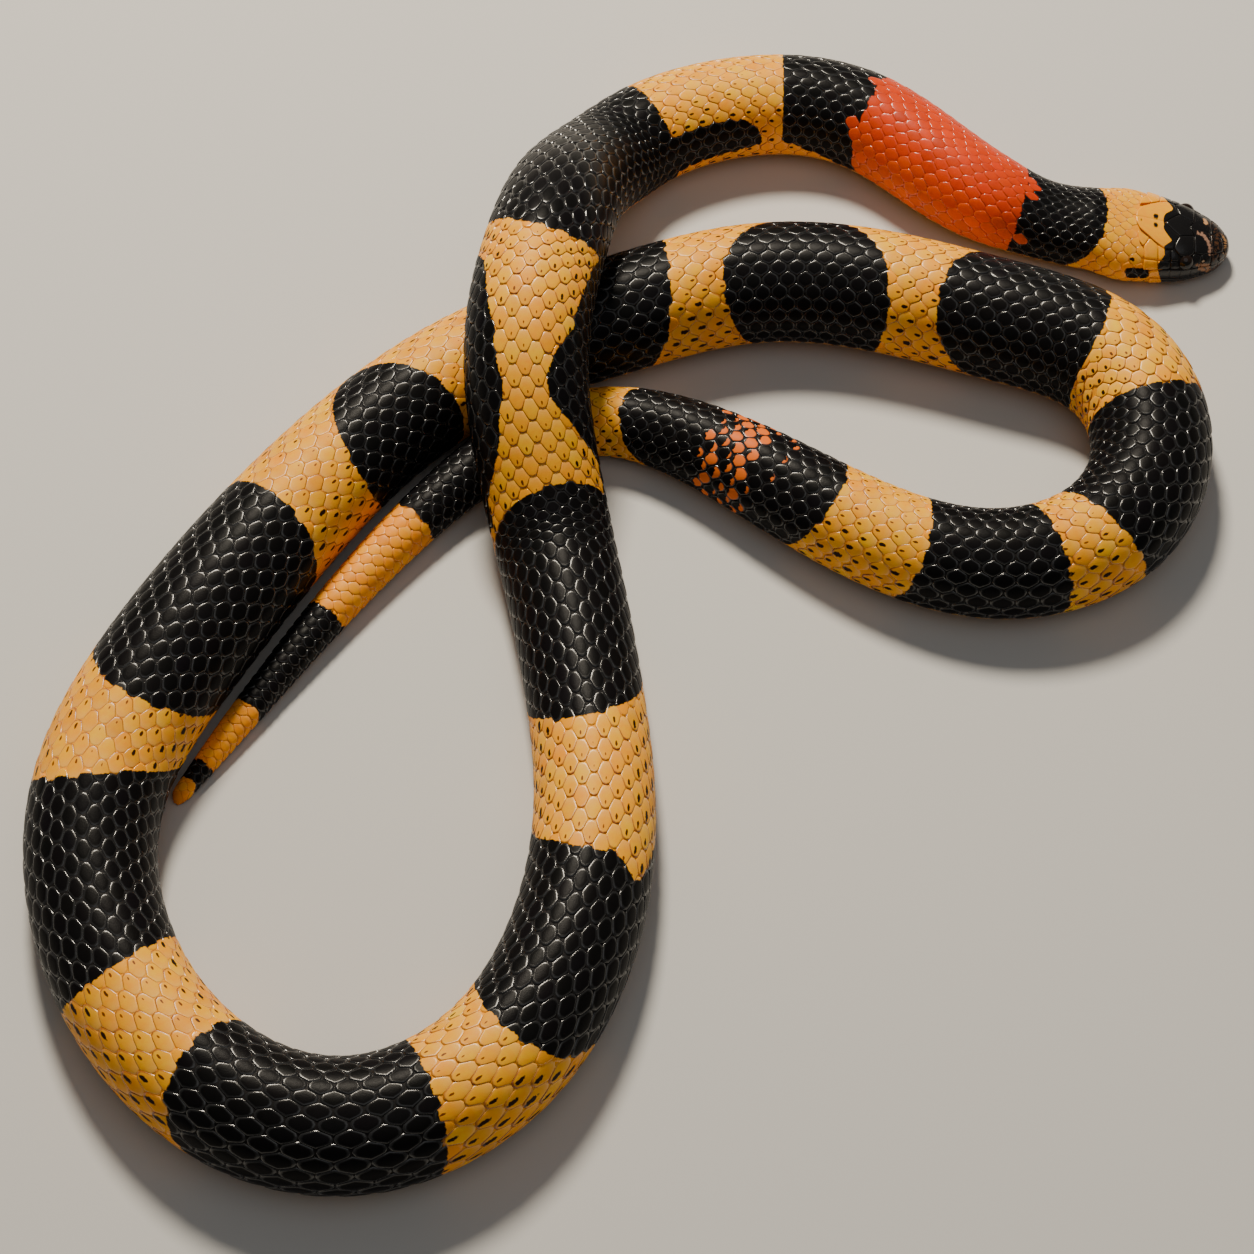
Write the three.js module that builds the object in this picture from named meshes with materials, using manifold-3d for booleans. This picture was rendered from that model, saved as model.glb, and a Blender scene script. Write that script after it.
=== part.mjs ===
// A milk snake at life size, lying on the floor in one loose figure, its body crossing once over
// itself and over the tail.
// Millimetres, +Z up. The belly lies on z = 0 and the origin is on the floor below the middle of the loops.
// Lengths along the body are called s and are measured from the tip of the snout.
import * as THREE from 'three';
import { mergeVertices } from 'three/addons/utils/BufferGeometryUtils.js';
import Module from 'manifold-3d';

const wasm = await Module();
wasm.setup();

// Route of the backbone over the floor, from the snout to the tip of the tail
const ROUTE = [
  [139.7, 98], [107, 101], [77, 108.6], [54.5, 136.3], [26, 142], [-5, 132],
  [-20.5, 112.5], [-26.5, 78], [-34.5, 42], [-25, 8], [-18.5, -27.5], [-14, -63.5],
  [-19, -97], [-34.5, -125.5], [-62, -140.5], [-90.5, -134.5], [-114, -111.5], [-126, -80.5],
  [-125, -51], [-110, -22.5], [-92, 7], [-71, 36], [-45.5, 59], [-12.5, 71.7],
  [19, 83.5], [48.5, 81.5], [80.5, 70.5], [109.5, 61.5], [118, 32.5], [104, 6.5],
  [73, -2], [41.5, 13], [12, 36.5], [-15.5, 48], [-41, 36], [-65.5, 8.5],
  [-88, -24], [-109, -56.5],
];

// Where the body climbs over itself: start of the climb, top, end of the descent, and height
const CLIMB_START = 158;
const CLIMB_TOP = 228;
const CLIMB_END = 298;
const CLIMB_HEIGHT = 24.9;

// Width of the body at places along it
const GIRTH = [
  [34, 22.4], [47, 21.1], [62, 23.6], [95, 25.6], [140, 26.3], [185, 27.4], [228, 29.6],
  [275, 28.4], [330, 27], [400, 28.8], [470, 29.4], [540, 29.2], [610, 31.2], [690, 28.4], [750, 29.4],
  [830, 30.4], [900, 28.7], [960, 25.8], [1010, 22.7], [1050, 17.5], [1090, 13.7], [1140, 10.1],
  [1180, 6.4], [1196, 4.2],
];
const BODY_RATIO = 0.84;
const NECK_RATIO = 0.7;
const NECK_START = 34;
const NECK_END = 60;
const LEVEL_RATIO = 0.44;
const FLAT_RATIO = 0.035;
const CROWN_POWER = 2;
const BELLY_POWER = 2.4;
const TAIL_ROUNDING = 3;

// The head at places along it: half width, top, underside, and height of its widest line
const HEAD = [
  [0, 2.3, 6.2, 2.4, 3.9],
  [0.8, 3.05, 6.6, 2, 3.85],
  [3, 5.75, 7.9, 0.9, 3.7],
  [7.5, 8.55, 9.9, 0.15, 3.9],
  [11, 10.15, 11, 0, 4.2],
  [15, 11.2, 11.9, 0, 4.7],
  [20, 12.4, 12.9, 0, 5.4],
  [26, 13.2, 14.1, 0, 6.2],
  [34, 11.2, 15.68, 0, 6.9],
];
const HEAD_POWER = 2.4;
const HEAD_END = 26;
const COLLAR_START = 16.7;
const HEAD_STATIONS = [
  0.01, 0.12, 0.4, 0.8, 1.5, 2.4, 3.5, 5, 6.6, 8.3, 10, 11.7, 13.5, 15.4, 17.6, 20, 22.6,
];
const NOSE_ROUNDING = 1.1;

// Line of the mouth: height at places along it, and its corner
const MOUTH = [[-2, 3.3], [0.8, 3], [3.5, 2.7], [8, 3], [12, 3.6], [15, 4.2], [20, 4.6]];
const MOUTH_CORNER = 18.5;

// Plates across the crown, each half an outline of places [s, degrees from the crown]
const CROWN_PLATES = {
  rostral: [[2.1, 0], [1.5, 28], [1.1, 60], [1, 90], [0.9, 110], [0.05, 110], [0.05, 60], [0.05, 0]],
  frontal: [[10.8, 0], [9.5, 8.5], [12.9, 13.5], [16.4, 0]],
};

// The plate of the chin's tip, likewise from the middle of the underside
const MENTAL = [[0.05, 180], [0.05, 124], [0.9, 126], [1.7, 148], [2.2, 180]];

// Plates on each side of the crown, with whole outlines
const SIDE_PLATES = {
  internasal: [[2.35, 0.2], [1.75, 26], [1.85, 40], [4.55, 38], [5.05, 0.2]],
  prefrontal: [[5.35, 0.2], [4.85, 38], [6.9, 42], [9, 38], [9.2, 9.5], [10.5, 0.2]],
  supraocular: [
    [9.55, 10], [9.1, 38], [9.6, 43], [10.6, 46], [12.2, 46], [13.1, 42.5], [14.2, 34], [13.9, 26],
    [12.9, 15.5],
  ],
  parietal: [
    [16.7, 0.2], [13.3, 15.5], [14.3, 26], [14.7, 34], [16.4, 34], [17.9, 29], [20.3, 20], [22.6, 13],
    [23.6, 6], [23.8, 0.2],
  ],
  nasal: [[1.75, 42], [1.25, 60], [1.15, 75], [3, 74.5], [4.6, 73], [4.6, 41.5]],
  loreal: [[4.95, 42], [4.9, 72], [7.2, 71], [7.2, 45]],
  preocular: [[7.5, 45], [7.45, 71], [9.1, 69], [8.8, 58], [9.4, 48], [9, 42]],
  upper_postocular: [[14.4, 37], [13.7, 43], [14, 55], [14.9, 55], [15, 38]],
  lower_postocular: [[14, 57.5], [13.6, 67], [14.7, 70], [14.95, 57]],
  front_temporal_1: [[15.3, 37], [15.2, 54.5], [17.9, 54], [18.1, 33], [16.6, 36.5]],
  front_temporal_2: [[15.2, 57], [15.1, 70], [17.9, 71.5], [17.9, 56.5]],
  rear_temporal_1: [[18.4, 32], [18.2, 54], [21.2, 52], [21.6, 33], [20.4, 24]],
  rear_temporal_2: [[18.2, 56.5], [18.2, 72], [21.2, 71], [21.2, 54.5]],
};

// The plates of the lips: where they part along s, and their upper and lower edges in degrees
const UPPER_LIP = {
  parts: [1.1, 2.9, 4.8, 7.1, 9.5, 12, 14.6, 17.2, 19.4],
  top: [[1, 78], [7, 74], [10, 73.5], [12.8, 73.5], [15, 73], [19, 75]],
};
const LOWER_LIP = {
  parts: [0.9, 2.4, 4, 5.8, 7.8, 10, 12.4, 14.9, 17.2],
  depth: 24,
};
const LIP_EDGE = [[0, 113], [0.8, 110], [3, 101], [6, 97], [10, 94], [15, 90.5], [19, 88.5]];
const LIP_OPENING = 10;

// How a plate is built: seam between plates, inset of its top, rise at its rim and middle, root
const PLATE_SEAM = 0.12;
const PLATE_INSET = 0.78;
const PLATE_RIM = 0.08;
const PLATE_RISE = { rostral: 0.1, supraocular: 0.4, other: 0.24 };
const PLATE_ROOT = 0.5;
const PLATE_STEP = 1.8;

const EYE_S = 11.2;
const EYE_ACROSS = 7.75;
const EYE_HEIGHT = 7.15;
const EYE_RADIUS = 2.3;
const NOSTRIL_S = 2.9;
const NOSTRIL_ACROSS = 4.9;
const NOSTRIL_HEIGHT = 6;
const NOSTRIL_RADIUS = 0.55;

// Gap between neighbours, sides of a cross section, and length of a step along the body
const GAP = 0.34;
const SIDES = 18;
const HEAD_SIDES = 28;
const STEP = 6.5;

// Colours of the skin
const BLACK = 0x17161a;
const YELLOW = 0xf0a646;
const RED = 0xe4501b;
const ORANGE = 0xee9722;
const EYE_BLACK = 0x0a0909;

// Lengths of the body behind the head: name, where each ends, and its colour
const LENGTHS = [
  ['nape', 32, YELLOW], ['neck', 51, BLACK],
  ['body_01', 97, RED], ['body_02', 121, BLACK], ['body_03', 155, YELLOW], ['body_04', 190, BLACK],
  ['body_05', 224, BLACK], ['body_06', 271, YELLOW], ['body_07', 305, BLACK], ['body_08', 340, BLACK],
  ['body_09', 373, YELLOW], ['body_10', 419, BLACK], ['body_11', 438, YELLOW], ['body_12', 491, BLACK],
  ['body_13', 516, YELLOW], ['body_14', 563, BLACK], ['body_15', 585, YELLOW], ['body_16', 645, BLACK],
  ['body_17', 668, YELLOW], ['body_18', 693, BLACK], ['body_19', 718, YELLOW], ['body_20', 759, BLACK],
  ['body_21', 774, YELLOW], ['body_22', 811, BLACK], ['body_23', 827, YELLOW], ['body_24', 866, BLACK],
  ['body_25', 887, YELLOW], ['body_26', 927, BLACK], ['body_27', 939, YELLOW], ['body_28', 967, BLACK],
  ['body_29', 990, YELLOW], ['body_30', 1019, BLACK],
  ['tail_1', 1048, BLACK], ['tail_2', 1066, YELLOW], ['tail_3', 1107, BLACK], ['tail_4', 1139, ORANGE],
  ['tail_5', 1168, BLACK], ['tail_6', 1185, ORANGE], ['tail_tip', Infinity, ORANGE],
];

// A smooth rise from 0 at a to 1 at b
function rise(a, b, x) {
  const t = Math.min(Math.max((x - a) / (b - a), 0), 1);
  return t * t * t * (10 - 15 * t + 6 * t * t);
}

// A value of a table at x, on a smooth curve through the table's rows
function lookUp(table, x, column) {
  const last = table.length - 1;
  let k = 0;
  while (k < last - 1 && x >= table[k + 1][0]) {
    k += 1;
  }
  const slope = (i) => {
    const a = Math.max(i - 1, 0);
    const b = Math.min(i + 1, last);
    const before = (table[i][column] - table[a][column]) / Math.max(table[i][0] - table[a][0], 1e-9);
    const after = (table[b][column] - table[i][column]) / Math.max(table[b][0] - table[i][0], 1e-9);
    if (a === i) {
      return after;
    }
    if (b === i) {
      return before;
    }
    const left = table[i][0] - table[a][0];
    const right = table[b][0] - table[i][0];
    return (before * right + after * left) / (left + right);
  };
  const width = table[k + 1][0] - table[k][0];
  const t = (x - table[k][0]) / width;
  const start = table[k][column] * (1 + 2 * t) * (1 - t) ** 2 + slope(k) * width * t * (1 - t) ** 2;
  const end = table[k + 1][column] * t * t * (3 - 2 * t) + slope(k + 1) * width * t * t * (t - 1);
  return start + end;
}

// A point of the route's smooth curve, u counted in points of the list
function routePoint(u) {
  const last = ROUTE.length - 1;
  const k = Math.min(Math.max(Math.floor(u), 0), last - 1);
  const t = u - k;
  const corner = (i, axis) => {
    if (i < 0) {
      return 2 * ROUTE[0][axis] - ROUTE[1][axis];
    }
    if (i > last) {
      return 2 * ROUTE[last][axis] - ROUTE[last - 1][axis];
    }
    return ROUTE[i][axis];
  };
  const mix = (axis) => (
    corner(k - 1, axis) * (1 - t) ** 3
    + corner(k, axis) * (3 * t ** 3 - 6 * t ** 2 + 4)
    + corner(k + 1, axis) * (-3 * t ** 3 + 3 * t ** 2 + 3 * t + 1)
    + corner(k + 2, axis) * t ** 3
  ) / 6;
  return [mix(0), mix(1)];
}

// The route walked in short steps, each with its length from the snout
const TRACK_STEPS = 40;
const TRACK = [];
for (let i = 0; i <= (ROUTE.length - 1) * TRACK_STEPS; i += 1) {
  const [x, y] = routePoint(i / TRACK_STEPS);
  const before = TRACK[i - 1];
  const s = before ? before.s + Math.hypot(x - before.x, y - before.y) : 0;
  TRACK.push({ s, x, y });
}
const LENGTH = TRACK[TRACK.length - 1].s;

function lift(s) {
  return CLIMB_HEIGHT * rise(CLIMB_START, CLIMB_TOP, s) * (1 - rise(CLIMB_TOP, CLIMB_END, s));
}

// The backbone's foot at s, at the height of the belly, going on straight past both ends
function foot(s) {
  let low = 0;
  let high = TRACK.length - 1;
  while (high - low > 1) {
    const middle = (low + high) >> 1;
    if (TRACK[middle].s > s) {
      high = middle;
    } else {
      low = middle;
    }
  }
  const a = TRACK[low];
  const b = TRACK[high];
  const t = (s - a.s) / (b.s - a.s);
  return new THREE.Vector3(a.x + (b.x - a.x) * t, a.y + (b.y - a.y) * t, lift(s));
}

// The body's own directions at s: along it towards the tail, to its left, and up
function frame(s) {
  const reach = 1.5;
  const along = foot(s + reach).sub(foot(s - reach)).normalize();
  const side = new THREE.Vector3(-along.y, along.x, 0).normalize();
  const up = new THREE.Vector3().crossVectors(along, side);
  return { origin: foot(s), along, side, up };
}

// Half width, top, underside, widest level and squareness of the cross section at s
function form(s) {
  if (s < NECK_START) {
    const intoNose = Math.max(0, (NOSE_ROUNDING - s) / NOSE_ROUNDING);
    const share = Math.sqrt(Math.max(1 - intoNose ** 2, 0));
    const level = lookUp(HEAD, s, 4);
    return {
      half: lookUp(HEAD, s, 1) * share,
      top: level + (lookUp(HEAD, s, 2) - level) * share,
      bottom: level + (lookUp(HEAD, s, 3) - level) * share,
      level,
      flat: 0.7 * rise(5, 15, s),
      crown: HEAD_POWER + (CROWN_POWER - HEAD_POWER) * rise(10, NECK_START, s),
    };
  }
  const ratio = NECK_RATIO + (BODY_RATIO - NECK_RATIO) * rise(NECK_START, NECK_END, s);
  const intoTip = Math.max(0, (s - LENGTH + TAIL_ROUNDING) / TAIL_ROUNDING);
  const width = lookUp(GIRTH, s, 1) * Math.sqrt(Math.max(1 - intoTip ** 2, 0));
  const height = width * ratio;
  return {
    half: width / 2,
    top: height,
    bottom: 0,
    level: height * LEVEL_RATIO,
    flat: width * FLAT_RATIO,
    crown: CROWN_POWER,
  };
}

// A point of the skin: angle 0 is the left side, a quarter turn the middle of the back
function skinPoint(s, angle) {
  const { half, top, bottom, level, flat, crown } = form(s);
  const c = Math.cos(angle);
  const k = Math.sin(angle);
  const power = 2 / (k > 0 ? crown : BELLY_POWER);
  const across = half * Math.sign(c) * Math.abs(c) ** power;
  const rising = k > 0 ? top - level : level - bottom + flat;
  const height = Math.max(level + Math.sign(k) * rising * Math.abs(k) ** power, bottom);
  const { origin, side, up } = frame(s);
  const point = origin.addScaledVector(side, across).addScaledVector(up, height);
  point.z = Math.max(point.z, 0);
  return point;
}

function ring(s, sides) {
  const points = [];
  for (let j = 0; j < sides; j += 1) {
    points.push(skinPoint(s, (2 * Math.PI * (j + 0.5)) / sides));
  }
  return points;
}

// A closed solid through rings of points, with a fan over each end
function closedSkin(rings) {
  const sides = rings[0].length;
  const points = rings.flat();
  const triangles = [];
  for (let i = 0; i + 1 < rings.length; i += 1) {
    for (let j = 0; j < sides; j += 1) {
      const a = i * sides + j;
      const b = i * sides + ((j + 1) % sides);
      triangles.push(a, b, b + sides, a, b + sides, a + sides);
    }
  }
  for (const end of [0, rings.length - 1]) {
    const centre = new THREE.Vector3();
    rings[end].forEach((point) => centre.addScaledVector(point, 1 / sides));
    const hub = points.push(centre) - 1;
    for (let j = 0; j < sides; j += 1) {
      const a = end * sides + j;
      const b = end * sides + ((j + 1) % sides);
      triangles.push(...(end === 0 ? [hub, b, a] : [hub, a, b]));
    }
  }
  const geometry = new THREE.BufferGeometry().setFromPoints(points);
  geometry.setIndex(triangles);
  return geometry;
}

function bodyLength(from, to) {
  const steps = Math.max(2, Math.round((to - from) / STEP));
  const rings = [];
  for (let i = 0; i <= steps; i += 1) {
    rings.push(ring(from + ((to - from) * i) / steps, SIDES));
  }
  return closedSkin(rings);
}

// The blunt end of the tail is walked in shorter steps towards its tip
function tailTip(from) {
  const rings = [ring(from, SIDES)];
  for (const back of [7, 4.5, 3, 1.9, 0.9, 0.3, 0.05]) {
    rings.push(ring(LENGTH - back, SIDES));
  }
  return closedSkin(rings);
}

function toSolid(geometry) {
  const bare = geometry.clone();
  bare.deleteAttribute('normal');
  bare.deleteAttribute('uv');
  const merged = mergeVertices(bare, 1e-4);
  return new wasm.Manifold(new wasm.Mesh({
    numProp: 3,
    vertProperties: new Float32Array(merged.attributes.position.array),
    triVerts: new Uint32Array(merged.index.array),
  }));
}

function toGeometry(solid) {
  const mesh = solid.getMesh();
  const geometry = new THREE.BufferGeometry();
  geometry.setAttribute('position', new THREE.BufferAttribute(mesh.vertProperties, 3));
  geometry.setIndex(new THREE.BufferAttribute(mesh.triVerts, 1));
  return geometry;
}

// A point above the skin of the head, on the left for hand 1, degrees counted from the crown
function raised(s, degrees, hand, rise) {
  const turn = (degree) => Math.PI / 2 - (hand * degree * Math.PI) / 180;
  const reach = 0.02;
  const along = skinPoint(s + reach, turn(degrees)).sub(skinPoint(s - reach, turn(degrees)));
  const around = skinPoint(s, turn(degrees + 1)).sub(skinPoint(s, turn(degrees - 1)));
  const normal = new THREE.Vector3().crossVectors(along, around).normalize().multiplyScalar(hand * rise);
  const point = skinPoint(s, turn(degrees)).add(normal);
  point.z = Math.max(point.z, 0);
  return point;
}

// A low pillow over an outline on the head, its root sunk into the flesh
function plate(name, outline, hand) {
  const height = PLATE_RISE[name] ?? PLATE_RISE.other;
  const middle = [0, 1].map((k) => outline.reduce((sum, place) => sum + place[k], 0) / outline.length);
  const edge = [];
  outline.forEach((place, i) => {
    const next = outline[(i + 1) % outline.length];
    const span = raised(...place, hand, 0).distanceTo(raised(...next, hand, 0));
    const steps = Math.max(1, Math.round(span / PLATE_STEP));
    for (let k = 0; k < steps; k += 1) {
      edge.push([0, 1].map((j) => place[j] + ((next[j] - place[j]) * k) / steps));
    }
  });
  const hub = raised(...middle, hand, 0);
  const layer = (share, rise) => edge.map((place) => {
    const reach = hub.distanceTo(raised(...place, hand, 0));
    const kept = share * Math.max(1 - PLATE_SEAM / reach, 0.5);
    return raised(...[0, 1].map((j) => middle[j] + (place[j] - middle[j]) * kept), hand, rise);
  });
  const solid = toSolid(closedSkin([
    layer(1, -PLATE_ROOT), layer(1, PLATE_RIM), layer(PLATE_INSET, height),
  ]));
  if (solid.volume() > 0) {
    return solid;
  }
  return toSolid(closedSkin([
    layer(PLATE_INSET, height), layer(1, PLATE_RIM), layer(1, -PLATE_ROOT),
  ]));
}

// The plates of one lip, between its opening and a top or a depth below it
function lipPlates({ parts, top, depth }) {
  const outlines = [];
  for (let i = 0; i + 1 < parts.length; i += 1) {
    const [from, to] = [parts[i] + 0.05, parts[i + 1] - 0.05];
    const near = (s) => lookUp(LIP_EDGE, s, 1) + (top ? 0 : LIP_OPENING);
    const far = (s) => (top ? lookUp(top, s, 1) : near(s) + depth);
    outlines.push([[from, near(from)], [to, near(to)], [to, far(to)], [from, far(from)]]);
  }
  return outlines;
}

// A half outline made whole, mirrored across a line along the head
function mirrored(half, line) {
  const other = half.filter((place) => place[1] !== line);
  return [...half, ...other.reverse().map(([s, degrees]) => [s, 2 * line - degrees])];
}

// All the plates of the head as solids
function headPlates() {
  const plates = Object.entries(CROWN_PLATES).map(([name, half]) => plate(name, mirrored(half, 0), 1));
  plates.push(plate('mental', mirrored(MENTAL, 180), 1));
  for (const hand of [1, -1]) {
    for (const [name, outline] of Object.entries(SIDE_PLATES)) {
      plates.push(plate(name, outline, hand));
    }
    for (const outline of [...lipPlates(UPPER_LIP), ...lipPlates(LOWER_LIP)]) {
      plates.push(plate('lip', outline, hand));
    }
  }
  return plates;
}

// A point given in the head's own frame: s, distance to the left, and height
function headPoint(s, across, height) {
  const { origin, side, up } = frame(s);
  return origin.addScaledVector(side, across).addScaledVector(up, height);
}

// All of the head between two places along it
function between(from, to) {
  const wide = 16;
  return toSolid(closedSkin([from, to].map((s) => [
    headPoint(s, wide, -3),
    headPoint(s, wide, 20),
    headPoint(s, -wide, 20),
    headPoint(s, -wide, -3),
  ])));
}

// All that lies below the line of the mouth, lowered by a clearance
function belowMouth(clearance) {
  const wide = 16;
  const deep = -3;
  const rings = [];
  for (let s = -2; s <= MOUTH_CORNER - clearance; s += (MOUTH_CORNER - clearance + 2) / 12 - 1e-9) {
    const height = lookUp(MOUTH, s, 1) - clearance;
    rings.push([
      headPoint(s, wide, deep),
      headPoint(s, wide, height),
      headPoint(s, -wide, height),
      headPoint(s, -wide, deep),
    ]);
  }
  return toSolid(closedSkin(rings));
}

function ball(radius, s, across, height) {
  const geometry = new THREE.SphereGeometry(radius, 20, 12);
  const centre = headPoint(s, across, height);
  geometry.translate(centre.x, centre.y, centre.z);
  return geometry;
}

// The head, its lower jaw parted along the mouth, and its back parted where the collar starts
function headSolids() {
  const stations = [...HEAD_STATIONS, HEAD_END - GAP / 2];
  let whole = toSolid(closedSkin(stations.map((s) => ring(s, HEAD_SIDES))));
  headPlates().forEach((solid) => {
    whole = whole.add(solid);
  });
  for (const hand of [1, -1]) {
    whole = whole.subtract(toSolid(ball(EYE_RADIUS + GAP, EYE_S, hand * EYE_ACROSS, EYE_HEIGHT)));
    const nostril = ball(NOSTRIL_RADIUS, NOSTRIL_S, hand * NOSTRIL_ACROSS, NOSTRIL_HEIGHT);
    whole = whole.subtract(toSolid(nostril));
  }
  const upper = whole.subtract(belowMouth(0));
  return {
    front: upper.intersect(between(-2, COLLAR_START - GAP / 2)),
    back: upper.intersect(between(COLLAR_START + GAP / 2, HEAD_END + 1)),
    jaw: whole.intersect(belowMouth(GAP)),
  };
}

function material(color, roughness) {
  return new THREE.MeshStandardMaterial({ color, roughness, metalness: 0 });
}

const snake = new THREE.Group();

function add(name, geometry, color, roughness = 0.42) {
  const mesh = new THREE.Mesh(geometry, material(color, roughness));
  mesh.name = name;
  snake.add(mesh);
}

const { front, back, jaw } = headSolids();
add('head', toGeometry(front), BLACK);
add('back_of_head', toGeometry(back), YELLOW);
add('lower_jaw', toGeometry(jaw), BLACK);
add('eye_left', ball(EYE_RADIUS, EYE_S, -EYE_ACROSS, EYE_HEIGHT), EYE_BLACK, 0.08);
add('eye_right', ball(EYE_RADIUS, EYE_S, EYE_ACROSS, EYE_HEIGHT), EYE_BLACK, 0.08);

let start = HEAD_END;
for (const [name, end, color] of LENGTHS) {
  const from = start + GAP / 2;
  add(name, end > LENGTH ? tailTip(from) : bodyLength(from, end - GAP / 2), color);
  start = end;
}

export default snake;
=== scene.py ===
"""A milk snake at life size, lying on a pale floor: one skin with its scales set on it one by one."""
import math

import bpy
import numpy as np
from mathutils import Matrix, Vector


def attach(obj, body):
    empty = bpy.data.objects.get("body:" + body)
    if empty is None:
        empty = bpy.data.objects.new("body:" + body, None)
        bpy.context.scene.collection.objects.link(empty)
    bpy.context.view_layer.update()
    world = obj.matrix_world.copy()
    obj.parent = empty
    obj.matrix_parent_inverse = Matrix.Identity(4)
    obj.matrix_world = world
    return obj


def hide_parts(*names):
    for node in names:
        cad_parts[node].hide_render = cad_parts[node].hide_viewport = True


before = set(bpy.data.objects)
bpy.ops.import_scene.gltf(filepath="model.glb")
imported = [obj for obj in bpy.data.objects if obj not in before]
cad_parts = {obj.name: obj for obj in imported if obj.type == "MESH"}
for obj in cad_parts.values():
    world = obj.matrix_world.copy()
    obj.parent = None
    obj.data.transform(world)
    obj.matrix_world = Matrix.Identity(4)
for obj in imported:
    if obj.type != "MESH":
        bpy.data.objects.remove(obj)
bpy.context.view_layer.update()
rng = np.random.default_rng(7)

# Route of the backbone over the floor, in millimetres, as in the solids
ROUTE = [
    (139.7, 98), (107, 101), (77, 108.6), (54.5, 136.3), (26, 142), (-5, 132),
    (-20.5, 112.5), (-26.5, 78), (-34.5, 42), (-25, 8), (-18.5, -27.5), (-14, -63.5),
    (-19, -97), (-34.5, -125.5), (-62, -140.5), (-90.5, -134.5), (-114, -111.5), (-126, -80.5),
    (-125, -51), (-110, -22.5), (-92, 7), (-71, 36), (-45.5, 59), (-12.5, 71.7),
    (19, 83.5), (48.5, 81.5), (80.5, 70.5), (109.5, 61.5), (118, 32.5), (104, 6.5),
    (73, -2), (41.5, 13), (12, 36.5), (-15.5, 48), (-41, 36), (-65.5, 8.5),
    (-88, -24), (-109, -56.5),
]
CLIMB_START, CLIMB_TOP, CLIMB_END, CLIMB_HEIGHT = 158, 228, 298, 24.9

# Width of the body at places along it
GIRTH = [
    (34, 22.4), (47, 21.1), (62, 23.6), (95, 25.6), (140, 26.3), (185, 27.4), (228, 29.6),
    (275, 28.4), (330, 27), (400, 28.8), (470, 29.4), (540, 29.2), (610, 31.2), (690, 28.4),
    (750, 29.4), (830, 30.4), (900, 28.7), (960, 25.8), (1010, 22.7), (1050, 17.5),
    (1090, 13.7), (1140, 10.1), (1180, 6.4), (1196, 4.2),
]
BODY_RATIO, NECK_RATIO, NECK_START, NECK_END = 0.84, 0.7, 34, 60
LEVEL_RATIO, FLAT_RATIO, CROWN_POWER, BELLY_POWER, TAIL_ROUNDING = 0.44, 0.035, 2.0, 2.4, 3

# The head: half width, top, underside and height of its widest line
HEAD = [
    (0, 2.3, 6.2, 2.4, 3.9), (0.8, 3.05, 6.6, 2, 3.85), (3, 5.75, 7.9, 0.9, 3.7),
    (7.5, 8.55, 9.9, 0.15, 3.9), (11, 10.15, 11, 0, 4.2), (15, 11.2, 11.9, 0, 4.7),
    (20, 12.4, 12.9, 0, 5.4), (26, 13.2, 14.1, 0, 6.2), (34, 11.2, 15.68, 0, 6.9),
]
HEAD_POWER, NOSE_ROUNDING = 2.4, 1.1

# How deep the skin lies under the solids' surface: under scales, under plates, and where these end
SKIN_DEPTH, PLATE_SKIN_DEPTH, PLATES_END = 0.56, 0.1, (15.5, 21)

# What is left at least of a section that is drawn in, and how far it is drawn in over the floor
LEAST_SHARE, FLOOR_INSET = 0.3, 0.4

# The least height of a scale or plate over the floor, and a quarter turn
LEAST_HEIGHT, QUARTER = 0.02, np.pi / 2


def rise(a, b, x):
    """0 up to a, 1 from b on, and a smooth step between."""
    t = np.clip((np.asarray(x, float) - a) / (b - a), 0, 1)
    return t ** 3 * (10 - 15 * t + 6 * t * t)


def look_up(table, x, column=1):
    """A value of a table at x, on a smooth curve through its rows."""
    rows = np.asarray(table, float)
    g, v = rows[:, 0], rows[:, column]
    h = np.diff(g)
    d = np.diff(v) / h
    m = np.empty(len(g))
    m[0], m[-1] = d[0], d[-1]
    m[1:-1] = (d[:-1] * h[1:] + d[1:] * h[:-1]) / (h[:-1] + h[1:])
    k = np.clip(np.searchsorted(g, x, side="right") - 1, 0, len(g) - 2)
    t = (x - g[k]) / h[k]
    start = v[k] * (1 + 2 * t) * (1 - t) ** 2 + m[k] * h[k] * t * (1 - t) ** 2
    return start + v[k + 1] * t * t * (3 - 2 * t) + m[k + 1] * h[k] * t * t * (t - 1)


def read_off(table, x):
    """A value of a table of two columns at x, on straight lines through its rows."""
    return np.interp(x, *np.array(table, float).T)


def inside(x, low, high):
    return (x > low) & (x < high)


def unit(vectors):
    return vectors / np.maximum(np.linalg.norm(vectors, axis=-1, keepdims=True), 1e-12)


def walk_route(steps=40):
    """Length so far and place of points on the smooth curve that the route's points lead."""
    points = np.array(ROUTE, float)
    points = np.vstack([2 * points[0] - points[1], points, 2 * points[-1] - points[-2]])
    u = np.linspace(0, len(ROUTE) - 1, (len(ROUTE) - 1) * steps + 1)
    k = np.minimum(u.astype(int), len(ROUTE) - 2)
    t = (u - k)[:, None]
    xy = (points[k] * (1 - t) ** 3 + points[k + 1] * (3 * t ** 3 - 6 * t ** 2 + 4)
          + points[k + 2] * (-3 * t ** 3 + 3 * t ** 2 + 3 * t + 1) + points[k + 3] * t ** 3) / 6
    s = np.concatenate([[0], np.cumsum(np.hypot(*np.diff(xy, axis=0).T))])
    return s, xy


TRACK_S, TRACK_XY = walk_route()
LENGTH = TRACK_S[-1]


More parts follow.
